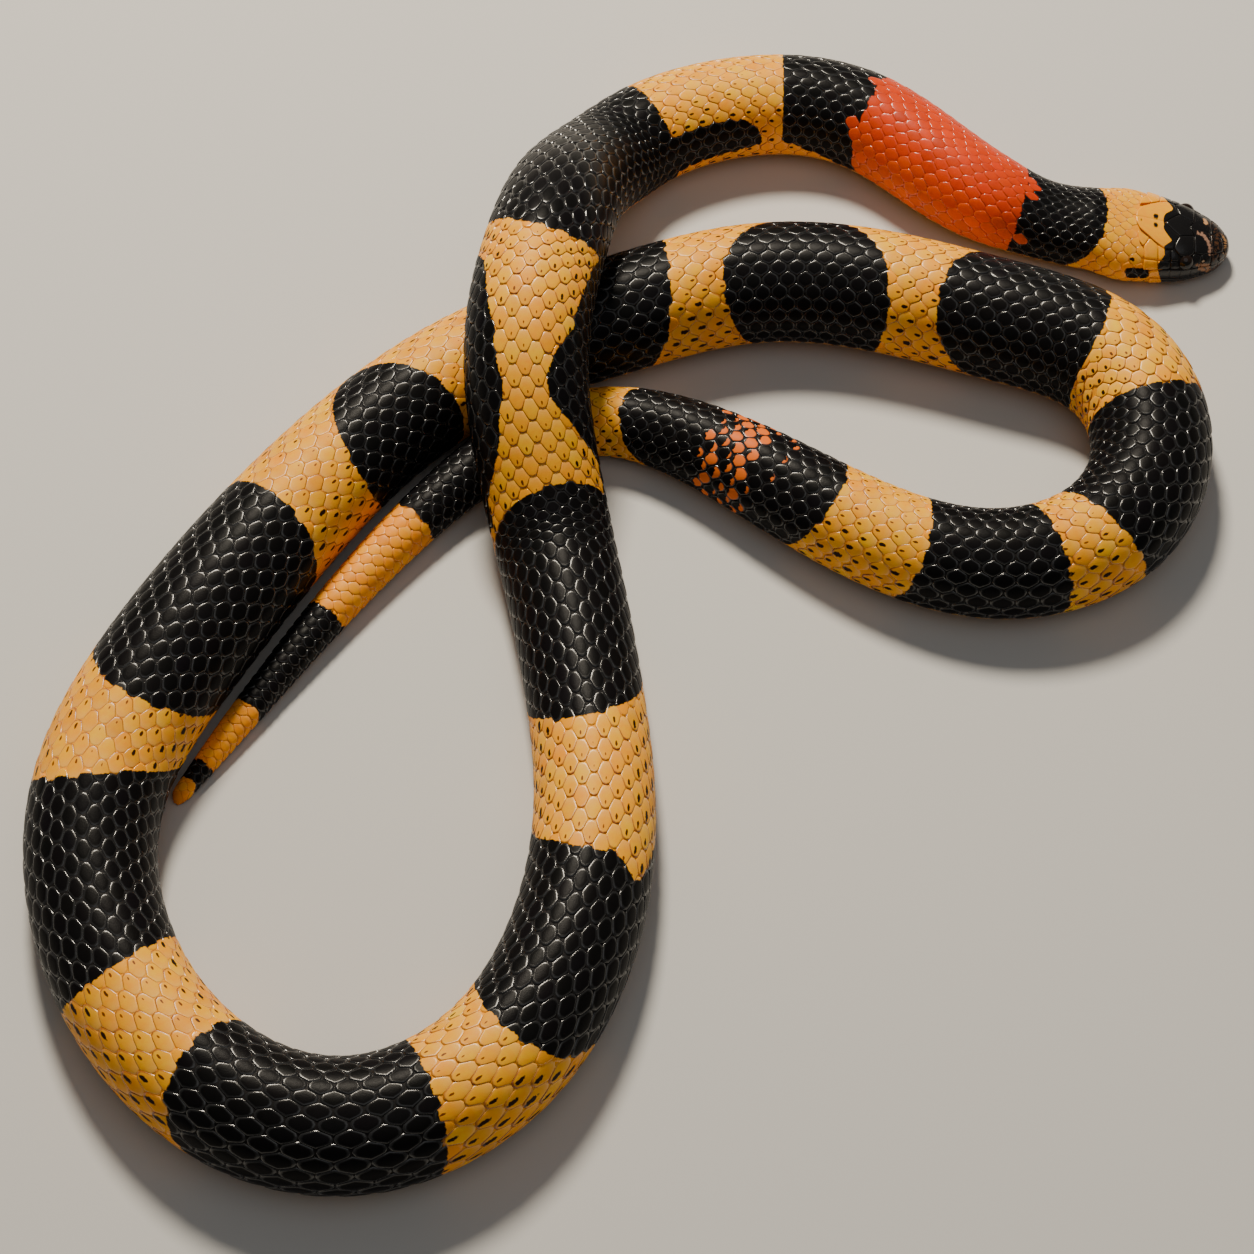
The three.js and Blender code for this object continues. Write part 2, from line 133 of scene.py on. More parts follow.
def foot(s):
    """The backbone's foot at s, at the height of the belly, going on straight past both ends."""
    s = np.asarray(s, float)
    k = np.clip(np.searchsorted(TRACK_S, s, side="right") - 1, 0, len(TRACK_S) - 2)
    t = ((s - TRACK_S[k]) / (TRACK_S[k + 1] - TRACK_S[k]))[..., None]
    xy = TRACK_XY[k] * (1 - t) + TRACK_XY[k + 1] * t
    up = rise(CLIMB_START, CLIMB_TOP, s) * (1 - rise(CLIMB_TOP, CLIMB_END, s))
    return np.concatenate([xy, (CLIMB_HEIGHT * up)[..., None]], -1)


def axes(s):
    """Along the body to the tail, to its left, and up."""
    along = unit(foot(s + 1.5) - foot(s - 1.5))
    side = unit(np.stack([-along[..., 1], along[..., 0], 0 * along[..., 0]], -1))
    return along, side, np.cross(along, side)


def form(s):
    """Half width, top, underside, widest level, flat and squareness of the section at s."""
    s = np.asarray(s, float)
    into_nose = np.maximum(0, (NOSE_ROUNDING - s) / NOSE_ROUNDING)
    share = np.sqrt(np.maximum(1 - into_nose ** 2, 0))
    head_level = look_up(HEAD, s, 4)
    head = (
        look_up(HEAD, s, 1) * share,
        head_level + (look_up(HEAD, s, 2) - head_level) * share,
        head_level + (look_up(HEAD, s, 3) - head_level) * share,
        head_level,
        0.7 * rise(5, 15, s),
        HEAD_POWER + (CROWN_POWER - HEAD_POWER) * rise(10, NECK_START, s),
    )
    ratio = NECK_RATIO + (BODY_RATIO - NECK_RATIO) * rise(NECK_START, NECK_END, s)
    into_tip = np.clip((s - LENGTH + TAIL_ROUNDING) / TAIL_ROUNDING, 0, 1)
    width = look_up(GIRTH, s, 1) * np.sqrt(1 - into_tip ** 2)
    height = width * ratio
    body = (width / 2, height, 0 * s, height * LEVEL_RATIO, width * FLAT_RATIO, CROWN_POWER + 0 * s)
    return [np.where(s < NECK_START, a, b) for a, b in zip(head, body)]


def surface(s, theta, inset=0.0):
    """Points under the solids' smooth surface; theta 0 is the left side, a quarter turn the back."""
    s, theta = np.broadcast_arrays(np.asarray(s, float), np.asarray(theta, float))
    half, top, bottom, level, flat, crown = form(s)
    half = np.maximum(half - inset, half * LEAST_SHARE)
    top = np.maximum(top - inset, level + LEAST_SHARE * (top - level))
    c, k = np.cos(theta), np.sin(theta)
    power = 2 / np.where(k > 0, crown, BELLY_POWER)
    across = half * np.sign(c) * np.abs(c) ** power
    rising = np.where(k > 0, top - level, level - bottom + flat)
    height = level + np.sign(k) * rising * np.abs(k) ** power
    height = np.maximum(height, bottom + np.minimum(inset, FLOOR_INSET * (level - bottom)))
    _, side, up = axes(s)
    point = foot(s) + side * across[..., None] + up * height[..., None]
    point[..., 2] = np.maximum(point[..., 2], np.minimum(inset, FLOOR_INSET))
    return point


# Arc length round the section from the middle of the back, tabled over s and theta
ARC_S = np.linspace(0.05, LENGTH - 0.05, 600)
ARC_TURN = np.linspace(0, np.pi, 181)
ARC_INSET = 0.2


def arc_table():
    points = surface(ARC_S[:, None], QUARTER - ARC_TURN[None, :], ARC_INSET)
    steps = np.linalg.norm(np.diff(points, axis=1), axis=2)
    return np.concatenate([np.zeros((len(ARC_S), 1)), np.cumsum(steps, 1)], 1)


ARC = arc_table()


def turn_at(s, arc):
    """The angle from the back, 0 to pi, at an arc length round the section at s."""
    s, arc = np.broadcast_arrays(np.asarray(s, float), np.asarray(arc, float))
    row = np.clip((s - ARC_S[0]) / (ARC_S[1] - ARC_S[0]), 0, len(ARC_S) - 1.001)
    k = row.astype(int)
    f = row - k
    length = np.abs(arc)
    out = np.zeros(s.shape)
    for i in np.unique(k):
        pick = k == i
        low, high = (np.interp(length[pick], ARC[j], ARC_TURN) for j in (i, i + 1))
        out[pick] = low * (1 - f[pick]) + high * f[pick]
    return out * np.sign(arc)


def half_girth(s):
    return np.interp(s, ARC_S, ARC[:, -1])


# Base colours, set under the scene's own light
BLACK = (0.0045, 0.004, 0.0045)
YELLOW = (0.98, 0.375, 0.0005)
RED = (0.62, 0.045, 0.0002)
ORANGE = (0.97, 0.31, 0.0005)
FLAME = (0.75, 0.11, 0.0005)
TAN = (0.45, 0.24, 0.07)
PEACH = (0.95, 0.36, 0.03)

# Bands of colour: where each ends on the back, its slant and bow round the body, and its colour
BANDS = [
    (16.7, 0, 0, "black"), (31, -1.5, 6.3, "yellow"), (51.5, -2.6, 2.6, "black"),
    (97, -1.9, -0.4, "red"), (120.5, 0, 0, "black"), (155.3, 0, 0, "yellow"),
    (224.5, 2.4, -4.4, "black"), (270.6, -3.1, 11.4, "yellow"), (340.2, -3.1, -12.7, "black"),
    (373.6, 0.7, -10.6, "yellow"), (419.3, 1.5, -11.3, "black"), (438.3, 1.9, 1, "yellow"),
    (491.2, -1.6, -4.9, "black"), (516.1, -2.8, 4.7, "yellow"), (562.7, -4.5, 9.3, "black"),
    (584.5, 4.4, 13.5, "yellow"), (644.9, 1.7, -3.8, "black"), (667.9, 14.6, 10.9, "yellow"),
    (692.8, -10.8, -8, "black"), (718, 0, 0, "yellow"), (759.4, 5.3, -1.6, "black"),
    (774, 12.9, 13.3, "yellow"), (811, -13.2, -9.4, "black"), (827.3, 4.7, 9.8, "yellow"),
    (866.5, -7.3, -2.9, "black"), (887.3, -1.5, 0, "yellow"), (926.9, -4, 0.8, "black"),
    (938.8, -2.2, 1.9, "yellow"), (967, -4, 5.7, "black"), (989.6, -2.6, 7, "yellow"),
    (1048.1, 1.9, -7.2, "black"), (1066, 0, 0, "yellow"), (1106.2, 0, 0, "black"),
    (1137.9, 0, 0, "orange"), (1167.2, 0, 0, "black"), (1184, 0, 0, "orange"),
    (1189.1, 0, 0, "black"), (1300, 0, 0, "orange"),
]
KINDS = ["black", "yellow", "red", "orange", "tan"]
PALETTE = np.array([BLACK, YELLOW, RED, ORANGE, TAN])
BLACK_KIND, YELLOW_KIND, RED_KIND, ORANGE_KIND, TAN_KIND = range(len(KINDS))
BAND_KINDS = np.array([KINDS.index(name) for *_, name in BANDS])

# Two borders with an edge of their own: one drawn forward on the near flank, one with a bump there
DRAWN_BAND, DRAWN_FROM, DRAWN_RATE, DRAWN_MOST = 120.5, 0.95, 65, 0.3
BUMPED_BAND, BUMP_HEIGHT, BUMP_PLACE, BUMP_WIDTH = 373.6, 7.4, 0.62, 0.2

# The yellow saddle at the crossing: its two edges over the back, s and quarter turns
SADDLE_SPAN = 222, 278
SADDLE_RIGHT = [
    (226, -0.95), (232, -0.56), (240, -0.40), (244, -0.31), (248, -0.29), (251, -0.24),
    (254, -0.27), (257, -0.36), (260, -0.38), (264, -0.51), (267, -0.64), (271, -0.8),
]
SADDLE_LEFT = [
    (222, 0.9), (226, 0.78), (232, 0.69), (236, 0.64), (242, 0.56), (245, 0.42), (248, 0.29),
    (250, 0.22), (254, 0.22), (256, 0.29), (258, 0.40), (262, 0.56), (265, 0.69), (267, 0.80),
]

# The black tongue that runs into the yellow on the near flank: its upper and lower edges
TONGUE_SPAN = 127, 157
TONGUE_TOP = [(126, 1.0), (127, 0.87), (129, 0.71), (132, 0.60), (139, 0.56), (156, 0.56)]
TONGUE_FOOT = [(126, 0.98), (131, 1.04), (140, 1.06), (156, 1.12)]

# Scales part orange near the tail: where they are, where some more stray, and what marks all others
EMBER_SPAN, STRAY_EMBER_SPAN, NO_EMBER = (1011, 1026), (1006, 1030), -2.0

# The blotch in the collar: where it lies along the body and round it
BLOTCH_ALONG, BLOTCH_ROUND = (19.6, 25.2), (0.8, 1.04)

# Red scales that stand alone in the black, s and quarter turns; how near one of these places a scale
# has to be, and how long a quarter turn counts for that
STRAY_REACH, STRAY_QUARTER = 2, 18
STRAY_RED = [
    (51, -0.11), (51, 0.06), (51, 0.22), (52, 0.42), (52, 0.66), (50, 0.77), (96, -0.06),
    (98, -0.20), (95, 0.18), (95, 0.41), (97, 0.52), (96, 0.67), (94, 0.80),
]

# Where the pale belly begins, in quarter turns from the back, and where it ends under the head
BELLY_EDGE, BELLY_START = 1.3, 22


def kind_at(s, u):
    """Which of KINDS lies at body coordinates s and u, u counted in quarter turns from the back."""
    s, u = np.broadcast_arrays(np.asarray(s, float), np.asarray(u, float))
    found = np.zeros(s.shape, int)
    bow = np.clip(u, -BELLY_EDGE, BELLY_EDGE)
    for i, (end, skew, arch, _) in enumerate(BANDS[:-1]):
        edge = end + skew * bow + arch * bow ** 2
        if end == DRAWN_BAND:
            edge = end - DRAWN_RATE * np.clip(u - DRAWN_FROM, 0, DRAWN_MOST)
        if end == BUMPED_BAND:
            edge = edge + BUMP_HEIGHT * np.exp(-((u - BUMP_PLACE) / BUMP_WIDTH) ** 2)
        found = np.where(s > edge, i + 1, found)
    kind = BAND_KINDS[found]
    beside = (u < read_off(SADDLE_RIGHT, s)) | (u > read_off(SADDLE_LEFT, s))
    saddle = inside(s, *SADDLE_SPAN) & beside & (kind == YELLOW_KIND)
    blotch = inside(s, *BLOTCH_ALONG) & inside(u, *BLOTCH_ROUND)
    tongue = inside(s, *TONGUE_SPAN) & inside(u, read_off(TONGUE_TOP, s), read_off(TONGUE_FOOT, s))
    kind = np.where(saddle | blotch | tongue, BLACK_KIND, kind)
    return np.where((np.abs(u) > BELLY_EDGE) & (s > BELLY_START), TAN_KIND, kind)


# Rows of scales: how far apart along the body, how much wider each is than the one above it, and
# where side rows end towards the tail
PITCH = [
    (20, 2.9), (40, 3.1), (60, 3.7), (100, 4.4), (150, 4.7), (165, 5.2), (180, 6.0), (194, 6.3),
    (208, 5.0), (222, 3.8), (236, 3.2), (252, 3.35), (264, 4.2), (280, 5.2), (300, 5.9),
    (450, 5.9), (560, 5.6), (700, 5.0), (800, 4.6), (900, 4.6), (1000, 4.2), (1060, 3.6),
    (1120, 3.0), (1194, 2.3),
]
SIDE_ROWS = 10
ROW_GROWTH, NECK_ROW_GROWTH, NECK_ROWS = 0.016, 0.07, (45, 130)
ROW_ENDS = {5: 880, 7: 975, 3: 1030, 9: 1052, 6: 1078, 1: 1104, 8: 1130, 4: 1158}
SCUTE_SHARE = 0.27

# Behind the plates of the head: where the first scales sit, by degrees from the crown
NAPE_EDGE = [
    (0, 24), (15, 23.9), (30, 22.6), (38, 21.5), (62, 21.4), (80, 21.3), (92, 20), (112, 18),
    (125, 12.5), (180, 12.5),
]
FIRST_SCUTE = 17


def phase_table():
    """How many scales of a row have gone by at s."""
    s = np.arange(0, LENGTH + 3, 0.5)
    return s, np.concatenate([[0], np.cumsum(0.5 / read_off(PITCH, s)[:-1])])


PHASE_S, PHASE = phase_table()


def active(row, s, reach):
    """1 where a row of scales is there, 0 past its end."""
    end = ROW_ENDS.get(row, np.inf)
    return 1 - rise(end - reach, end + reach, s) if end < LENGTH else 1 + 0 * s


def row_place(row, s):
    """Arc length of a row's middle from the back at s, and half its width."""
    growth = ROW_GROWTH + NECK_ROW_GROWTH * (1 - rise(*NECK_ROWS, s))
    widths = [0.5 + 0 * s] + [(1 + growth * k) * active(k, s, 9) for k in range(1, SIDE_ROWS + 1)]
    unit = half_girth(s) * (1 - SCUTE_SHARE) / sum(widths)
    if row == 0:
        return 0 * s, widths[0] * unit
    return (sum(widths[:row]) + widths[row] / 2) * unit, widths[row] * unit / 2


def row_scales(row):
    """Where the scales of a row sit along the body."""
    count = PHASE + 0.5 * sum(active(k, PHASE_S, 30) for k in range(1, row + 1))
    whole = np.arange(math.ceil(count[0]), math.floor(count[-1]))
    at = np.interp(whole, count, PHASE_S)
    end = ROW_ENDS.get(row, np.inf)
    turn = np.degrees(turn_at(at, row_place(row, at)[0]))
    return at[inside(at, read_off(NAPE_EDGE, turn), min(LENGTH - 2.5, end + 1))]


def scale_places():
    """Every scale of the back and flanks: s, arc, pitch and half width, from the head to the tail."""
    out = []
    for row in range(SIDE_ROWS + 1):
        at = row_scales(row)
        middle, half = row_place(row, at)
        for hand in ((1, -1) if row else (1,)):
            out.append(np.stack([at, hand * middle, read_off(PITCH, at), half], 1))
    places = np.concatenate(out)
    return places[np.argsort(places[:, 0])]


def attribute(made, name, values, kind="FLOAT"):
    """Stores a value, vector or colour for each point."""
    data = made.data.attributes.new(name, kind, "POINT").data
    values = np.asarray(values, np.float32)
    if kind == "FLOAT_COLOR":
        values = np.concatenate([values, np.ones((len(values), 1), np.float32)], 1)
    key = {"FLOAT_COLOR": "color", "FLOAT_VECTOR": "vector"}.get(kind, "value")
    data.foreach_set(key, values.ravel())


def add_object(name, data):
    made = bpy.data.objects.new(name, data)
    bpy.context.scene.collection.objects.link(made)
    return made


def make_mesh(name, points, faces, material):
    """A mesh from points in millimetres and faces, all of one number of corners or a list of arrays."""
    groups = faces if isinstance(faces, list) else [faces]
    mesh = bpy.data.meshes.new(name)
    corner = np.concatenate([g.ravel() for g in groups]).astype(np.int32)
    sizes = np.concatenate([np.full(len(g), g.shape[1], np.int32) for g in groups])
    starts = np.concatenate([[0], np.cumsum(sizes)[:-1]]).astype(np.int32)
    mesh.vertices.add(len(points))
    mesh.vertices.foreach_set("co", (np.asarray(points) / 1000).astype(np.float32).ravel())
    mesh.loops.add(len(corner))
    mesh.loops.foreach_set("vertex_index", corner)
    mesh.polygons.add(len(sizes))
    mesh.polygons.foreach_set("loop_start", starts)
    mesh.polygons.foreach_set("use_smooth", np.ones(len(sizes), bool))
    mesh.update()
    mesh.validate()
    mesh.materials.append(material)
    return add_object(name, mesh)


def uv_map_corners(made, name, per_corner):
    layer = made.data.uv_layers.new(name=name)
    layer.data.foreach_set("uv", np.asarray(per_corner, np.float32).ravel())


def uv_map(made, name, per_point):
    corner = np.empty(len(made.data.loops), np.int32)
    made.data.loops.foreach_get("vertex_index", corner)
    uv_map_corners(made, name, per_point.reshape(-1, 2)[corner])


def ring_faces(rows, columns, closed=True):
    """Quads between rows of points, each row a closed ring or an open line."""
    i, j = np.meshgrid(np.arange(rows - 1), np.arange(columns if closed else columns - 1), indexing="ij")
    a, n = i * columns, (j + 1) % columns
    return np.stack([a + j, a + columns + j, a + columns + n, a + n], -1).reshape(-1, 4)


def fan_faces(hub, ring):
    """Triangles from one point to a closed ring of points."""
    return np.stack([np.full(len(ring), hub), ring, np.roll(ring, -1)], 1)


class Material:
    """A material that is being built, with a method for each kind of node."""

    def __init__(self, name):
        self.made = bpy.data.materials.new(name)
        self.made.use_nodes = True
        self.nodes, self.links = self.made.node_tree.nodes, self.made.node_tree.links
        self.shader = self.nodes["Principled BSDF"]

    def feed(self, inputs, values):
        """Sets inputs to numbers, vectors or colours, or links them to other nodes' outputs."""
        for key, value in values.items():
            if isinstance(value, bpy.types.NodeSocket):
                self.links.new(value, inputs[key])
            else:
                inputs[key].default_value = (*value, 1) if inputs[key].type == "RGBA" else value

    def maths(self, operation, *values):
        node = self.nodes.new("ShaderNodeMath")
        node.operation = operation
        self.feed(node.inputs, dict(enumerate(values)))
        return node.outputs[0]

    def plus(self, a, b):
        return self.maths("ADD", a, b)

    def less(self, a, b):
        return self.maths("SUBTRACT", a, b)

    def times(self, a, b):
        return self.maths("MULTIPLY", a, b)

    def line(self, value, gain, start):
        return self.maths("MULTIPLY_ADD", value, gain, start)

    def mix(self, factor, a, b, blend="MIX"):
        """Colour a where the factor is 0, b where it is 1."""
        node = self.nodes.new("ShaderNodeMix")
        node.data_type, node.blend_type = "RGBA", blend
        self.feed(node.inputs, {0: factor, 6: a, 7: b})
        return node.outputs[2]

    def read(self, name, output="Fac"):
        """What the mesh holds under a name."""
        node = self.nodes.new("ShaderNodeAttribute")
        node.attribute_name = name
        return node.outputs[output]

    def split(self, vector):
        node = self.nodes.new("ShaderNodeSeparateXYZ")
        self.feed(node.inputs, {0: vector})
        return node.outputs

    def ramp(self, value, low, high):
        """0 below low, 1 above high, and a smooth step between."""
        node = self.nodes.new("ShaderNodeMapRange")
        node.interpolation_type = "SMOOTHSTEP"
        self.feed(node.inputs, {"Value": value, "From Min": low, "From Max": high})
        return node.outputs["Result"]

    def noise(self, scale, detail=2.0, roughness=0.5):
        """Noise over the animal's own shape, scale in swellings per metre."""
        where = self.nodes.new("ShaderNodeTexCoord").outputs["Object"]
        node = self.nodes.new("ShaderNodeTexNoise")
        self.feed(node.inputs, dict(Vector=where, Scale=scale, Detail=detail, Roughness=roughness))
        return node.outputs["Fac"]

    def bump(self, height, distance, strength):
        node = self.nodes.new("ShaderNodeBump")
        self.feed(node.inputs, dict(Height=height, Distance=distance, Strength=strength))
        self.feed(self.shader.inputs, {"Normal": node.outputs["Normal"]})

    def clouded(self, colour):
        """The colour, a little uneven within and between scales."""
        cloud = self.ramp(self.noise(700, 3.0, 0.6), 0.3, 0.7)
        return self.mix(self.times(cloud, 0.16), colour, (1, 1, 1), "OVERLAY")

    def finish(self, colour, roughness, specular):
        self.feed(self.shader.inputs,
                  {"Base Color": colour, "Roughness": roughness, "Specular IOR Level": specular})
        return self.made


# Colours on a scale: a painted highlight at the root, arc along the tip, marks on the flank shallow and deep,
# orange, and a painted highlight on the rim
ROOT_HIGHLIGHT_COLOUR, ARC_COLOUR = (0.95, 0.62, 0.30), (0.30, 0.075, 0.012)
STAIN_COLOUR, SLOT_COLOUR = (0.24, 0.06, 0.008), (0.020, 0.008, 0.005)
# the rim colour is a painted highlight for the edges of dark scales
EMBER_COLOUR, RIM_HIGHLIGHT_COLOUR, SKIN_SHADE = (0.84, 0.17, 0.02), (0.015, 0.015, 0.016), (0.015, 0.006, 0.003)


def scale_material():
    """Scales: p runs from the root at -1 to the free tip at 1, q from side to side, r from the middle."""
    m = Material("scales")
    place = m.nodes.new("ShaderNodeUVMap")
    place.uv_map = "scale"
    split = m.split(place.outputs["UV"])
    p, q = (m.line(split[axis], 2.0, -1.0) for axis in ("X", "Y"))
    r, pale = m.read("ring"), m.read("pale")
    colour = m.clouded(m.read("tint", "Color"))

    # where a border of the pattern crosses the scale, the colour beyond it
    fray = m.line(m.noise(1200, 1.0), 0.3, -0.15)
    over = m.ramp(m.plus(m.read("past"), fray), 0.44, 0.56)
    own_side = m.less(1.0, over)
    colour = m.mix(over, colour, m.read("beyond", "Color"))

    # pale scales: lighter at the root, a painted highlight, and a brown arc along the free tip
    root = m.times(m.ramp(m.times(p, -1.0), -0.1, 1.0), 0.20)
    colour = m.mix(m.times(m.times(root, own_side), pale), colour, ROOT_HIGHLIGHT_COLOUR)
    arc = m.times(m.ramp(r, 0.80, 0.96), m.ramp(p, -0.1, 0.5))
    colour = m.mix(m.times(arc, m.times(m.read("arc"), own_side)), colour, ARC_COLOUR)

    # a dark slot just inside the tip on the flanks
    depth = m.read("slot")
    along = m.maths("DIVIDE", m.less(p, 0.5), 0.5)
    across = m.maths("DIVIDE", q, 0.28)
    reach = m.maths("SQRT", m.plus(m.times(along, along), m.times(across, across)))
    reach = m.maths("DIVIDE", reach, m.maths("MAXIMUM", depth, 0.01))
    wobble = m.line(m.noise(1500, 2.0), 1.2, -0.6)
    slot = m.times(m.less(1.0, m.ramp(m.plus(reach, wobble), 0.75, 1.1)), own_side)
    colour = m.mix(slot, colour, m.mix(m.ramp(depth, 0.3, 0.75), STAIN_COLOUR, SLOT_COLOUR))

    # scales that are part orange, part black
    ember = m.read("ember")
    torn = m.line(m.noise(900, 2.0), 1.3, -0.65)
    share = m.ramp(m.plus(m.less(ember, p), torn), -0.03, 0.03)
    share = m.times(share, m.ramp(ember, -1.4, -1.3))
    colour = m.mix(m.times(share, m.less(1.0, m.ramp(r, 0.9, 0.97))), colour, EMBER_COLOUR)

    # a painted highlight: a greyer rim round dark scales, standing in for light caught on their edges
    dark = m.times(m.read("dark"), own_side)
    colour = m.mix(m.times(m.ramp(r, 0.74, 0.94), dark), colour, RIM_HIGHLIGHT_COLOUR)

    # satin tops, glossier edges, finest wrinkles
    edge = m.ramp(r, 0.72, 0.95)
    rough = m.line(edge, -0.2, m.line(pale, 0.1, 0.36))
    rough = m.line(m.noise(2500, 2.0), 0.12, m.less(rough, 0.06))
    sheen = m.line(edge, 0.55, m.line(dark, -0.04, 0.09))
    m.bump(m.noise(3800, 3.0, 0.65), 0.00006, 0.5)
    return m.finish(colour, rough, sheen)


def skin_material():
    m = Material("skin")
    colour = m.mix(m.times(m.noise(900, 2.0), 0.2), m.read("tint", "Color"), SKIN_SHADE)
    m.bump(m.noise(3000, 3.0), 0.0001, 0.6)
    return m.finish(colour, 0.6, 0.15)


SCALE_MATERIAL = scale_material()
SKIN_MATERIAL = skin_material()


# Unwraps for the baked colours: the body in ten strips one over the other, and the head alone
STRIPS = 10
STRIP = (LENGTH + 2) / STRIPS


def unwrap(s, turn, middle):
    """Place on the unwrap of the body, turn in radians from the back, in the strip that middle is in."""
    s, turn, strip = np.broadcast_arrays(s, turn, np.clip(middle // STRIP, 0, STRIPS - 1))
    along = (s - strip * STRIP) / STRIP * 0.96 + 0.02
    return np.stack([along, (strip + 0.04 + 0.92 * (turn / (2 * np.pi) + 0.5)) / STRIPS], -1)


def head_unwrap(s, turn):
    return np.stack([0.02 + 0.96 * s / 30, 0.02 + 0.96 * (turn / (2 * np.pi) + 0.5)], -1)


def own(made):
    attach(made, "root")
    return made


# The skin, closed at snout and tail
SKIN_SIDES = 72


def skin_depth(s):
    """The skin lies close under the plates of the head and deeper under the scales of the body."""
    return PLATE_SKIN_DEPTH + (SKIN_DEPTH - PLATE_SKIN_DEPTH) * rise(*PLATES_END, s)


def skin_unwrap(s):
    """Each face's corners stay in one strip of the unwrap, also where it closes round the belly."""
    i, j = np.divmod(np.arange((len(s) - 1) * SKIN_SIDES), SKIN_SIDES)
    corner_s = np.stack([s[i], s[i + 1], s[i + 1], s[i]], 1)
    turn = QUARTER - np.stack([j, j, j + 1, j + 1], 1) * 2 * np.pi / SKIN_SIDES
    turn = turn - 2 * np.pi * np.round(turn.mean(1, keepdims=True) / (2 * np.pi))
    quads = unwrap(corner_s, turn, corner_s.mean(1, keepdims=True)).reshape(-1, 2)
    return np.concatenate([quads, *(np.full((SKIN_SIDES * 3, 2), corner) for corner in (0.001, 0.999))])


def make_skin():
    s = np.concatenate([[0.04, 0.12, 0.25, 0.45, 0.7, 1, 1.4], np.arange(1.8, 34, 0.5),
                        np.arange(34, LENGTH - 2, 1.0), np.linspace(LENGTH - 2, LENGTH - 0.45, 6)])
    theta = np.arange(SKIN_SIDES) * 2 * np.pi / SKIN_SIDES
    points = surface(s[:, None], theta[None, :], skin_depth(s)[:, None])
    all_points = np.concatenate([points.reshape(-1, 3), [points[0].mean(0)], [points[-1].mean(0)]])
    count, ring = len(s) * SKIN_SIDES, np.arange(SKIN_SIDES)
    nose = fan_faces(count, ring)
    tail = fan_faces(count + 1, (count - SKIN_SIDES + ring)[::-1])
    skin = make_mesh("skin", all_points, [ring_faces(len(s), SKIN_SIDES), nose, tail], SKIN_MATERIAL)
    turn = (QUARTER - theta + np.pi) % (2 * np.pi) - np.pi
    kind = kind_at(s[:, None], turn[None, :] / QUARTER)
    ends = PALETTE[[BLACK_KIND, ORANGE_KIND]]
    attribute(skin, "tint", np.concatenate([PALETTE[kind].reshape(-1, 3), ends]), "FLOAT_COLOR")
    uv_map_corners(skin, "OFBake", skin_unwrap(s))
    return skin


# Scales of the back and flanks. Their outline is a long hexagon with blunt ends, counted in cells
# of the scales' lattice, and their points lie on rings of it
SIDE_DIRECTIONS = np.radians([0, 20, 42, 62])
SECTORS = 4 * len(SIDE_DIRECTIONS)
DIRECTIONS = np.sort(np.concatenate([SIDE_DIRECTIONS, [QUARTER], np.pi - SIDE_DIRECTIONS[1:]]))
DIRECTIONS = np.concatenate([DIRECTIONS, DIRECTIONS + np.pi])
RINGS = np.array([0.40, 0.70, 0.88, 0.97, 1.05])
RADII = np.concatenate([[0], np.repeat(RINGS, SECTORS)])
CORNER_POWER = 7

# For each of KINDS: how blunt, how full and how long the outline is, how far its tip reaches over the
# next scale, and how plump it is
BLUNTNESS, FULLNESS, END_CUT, TIP_REACH, PLUMP = np.array([
    (0.30, 0.98, 0.95, 1.04, 1.0), (0.30, 1.02, 0.98, 1.09, 0.85), (0.28, 1.0, 0.96, 1.05, 0.9),
    (0.28, 1.02, 0.98, 1.09, 0.85), (0.30, 0.98, 0.95, 1.06, 0.85),
]).T

# Height of a scale over the skin: at its root, more towards the tip, and in its middle; its sunken rim
ROOT_LIFT, TIP_LIFT, CROWN_LIFT, RIM_LIFT, SCALE_LIFT = 0.05, 0.10, 0.14, -0.12, 0.02
SIZE_SPREAD, TILT_SPREAD, FULL_HALF_WIDTH, LEAST_PLUMP = 0.02, 0.022, 1.5, 0.45
SCALE_PIECES = 5

# How much of a scale's own size its place on the unwrap takes up
BAKE_SHARE = 0.9


def outline_reach(kind):
    c, k = np.abs(np.cos(DIRECTIONS))[None], np.abs(np.sin(DIRECTIONS))[None]
    blunt = BLUNTNESS[kind][:, None]
    side = (k + (1 - 2 * blunt) * c) / ((1 - blunt) * FULLNESS[kind][:, None])
    total = side ** CORNER_POWER + (c / END_CUT[kind][:, None]) ** CORNER_POWER
    return total ** (-1 / CORNER_POWER)


def outward(s, theta):
    """Which way the skin faces at a place."""
    return unit(surface(s, theta) - surface(s, theta, 0.3))


def scale_kind(s, u):
    """The kind of a whole scale, some black ones at the borders of the red being red."""
    kind = kind_at(s, u)
    for stray_s, stray_u in STRAY_RED:
        near = np.hypot(s - stray_s, STRAY_QUARTER * (u - stray_u)) < STRAY_REACH
        kind = np.where(near & (kind == BLACK_KIND), RED_KIND, kind)
    return kind


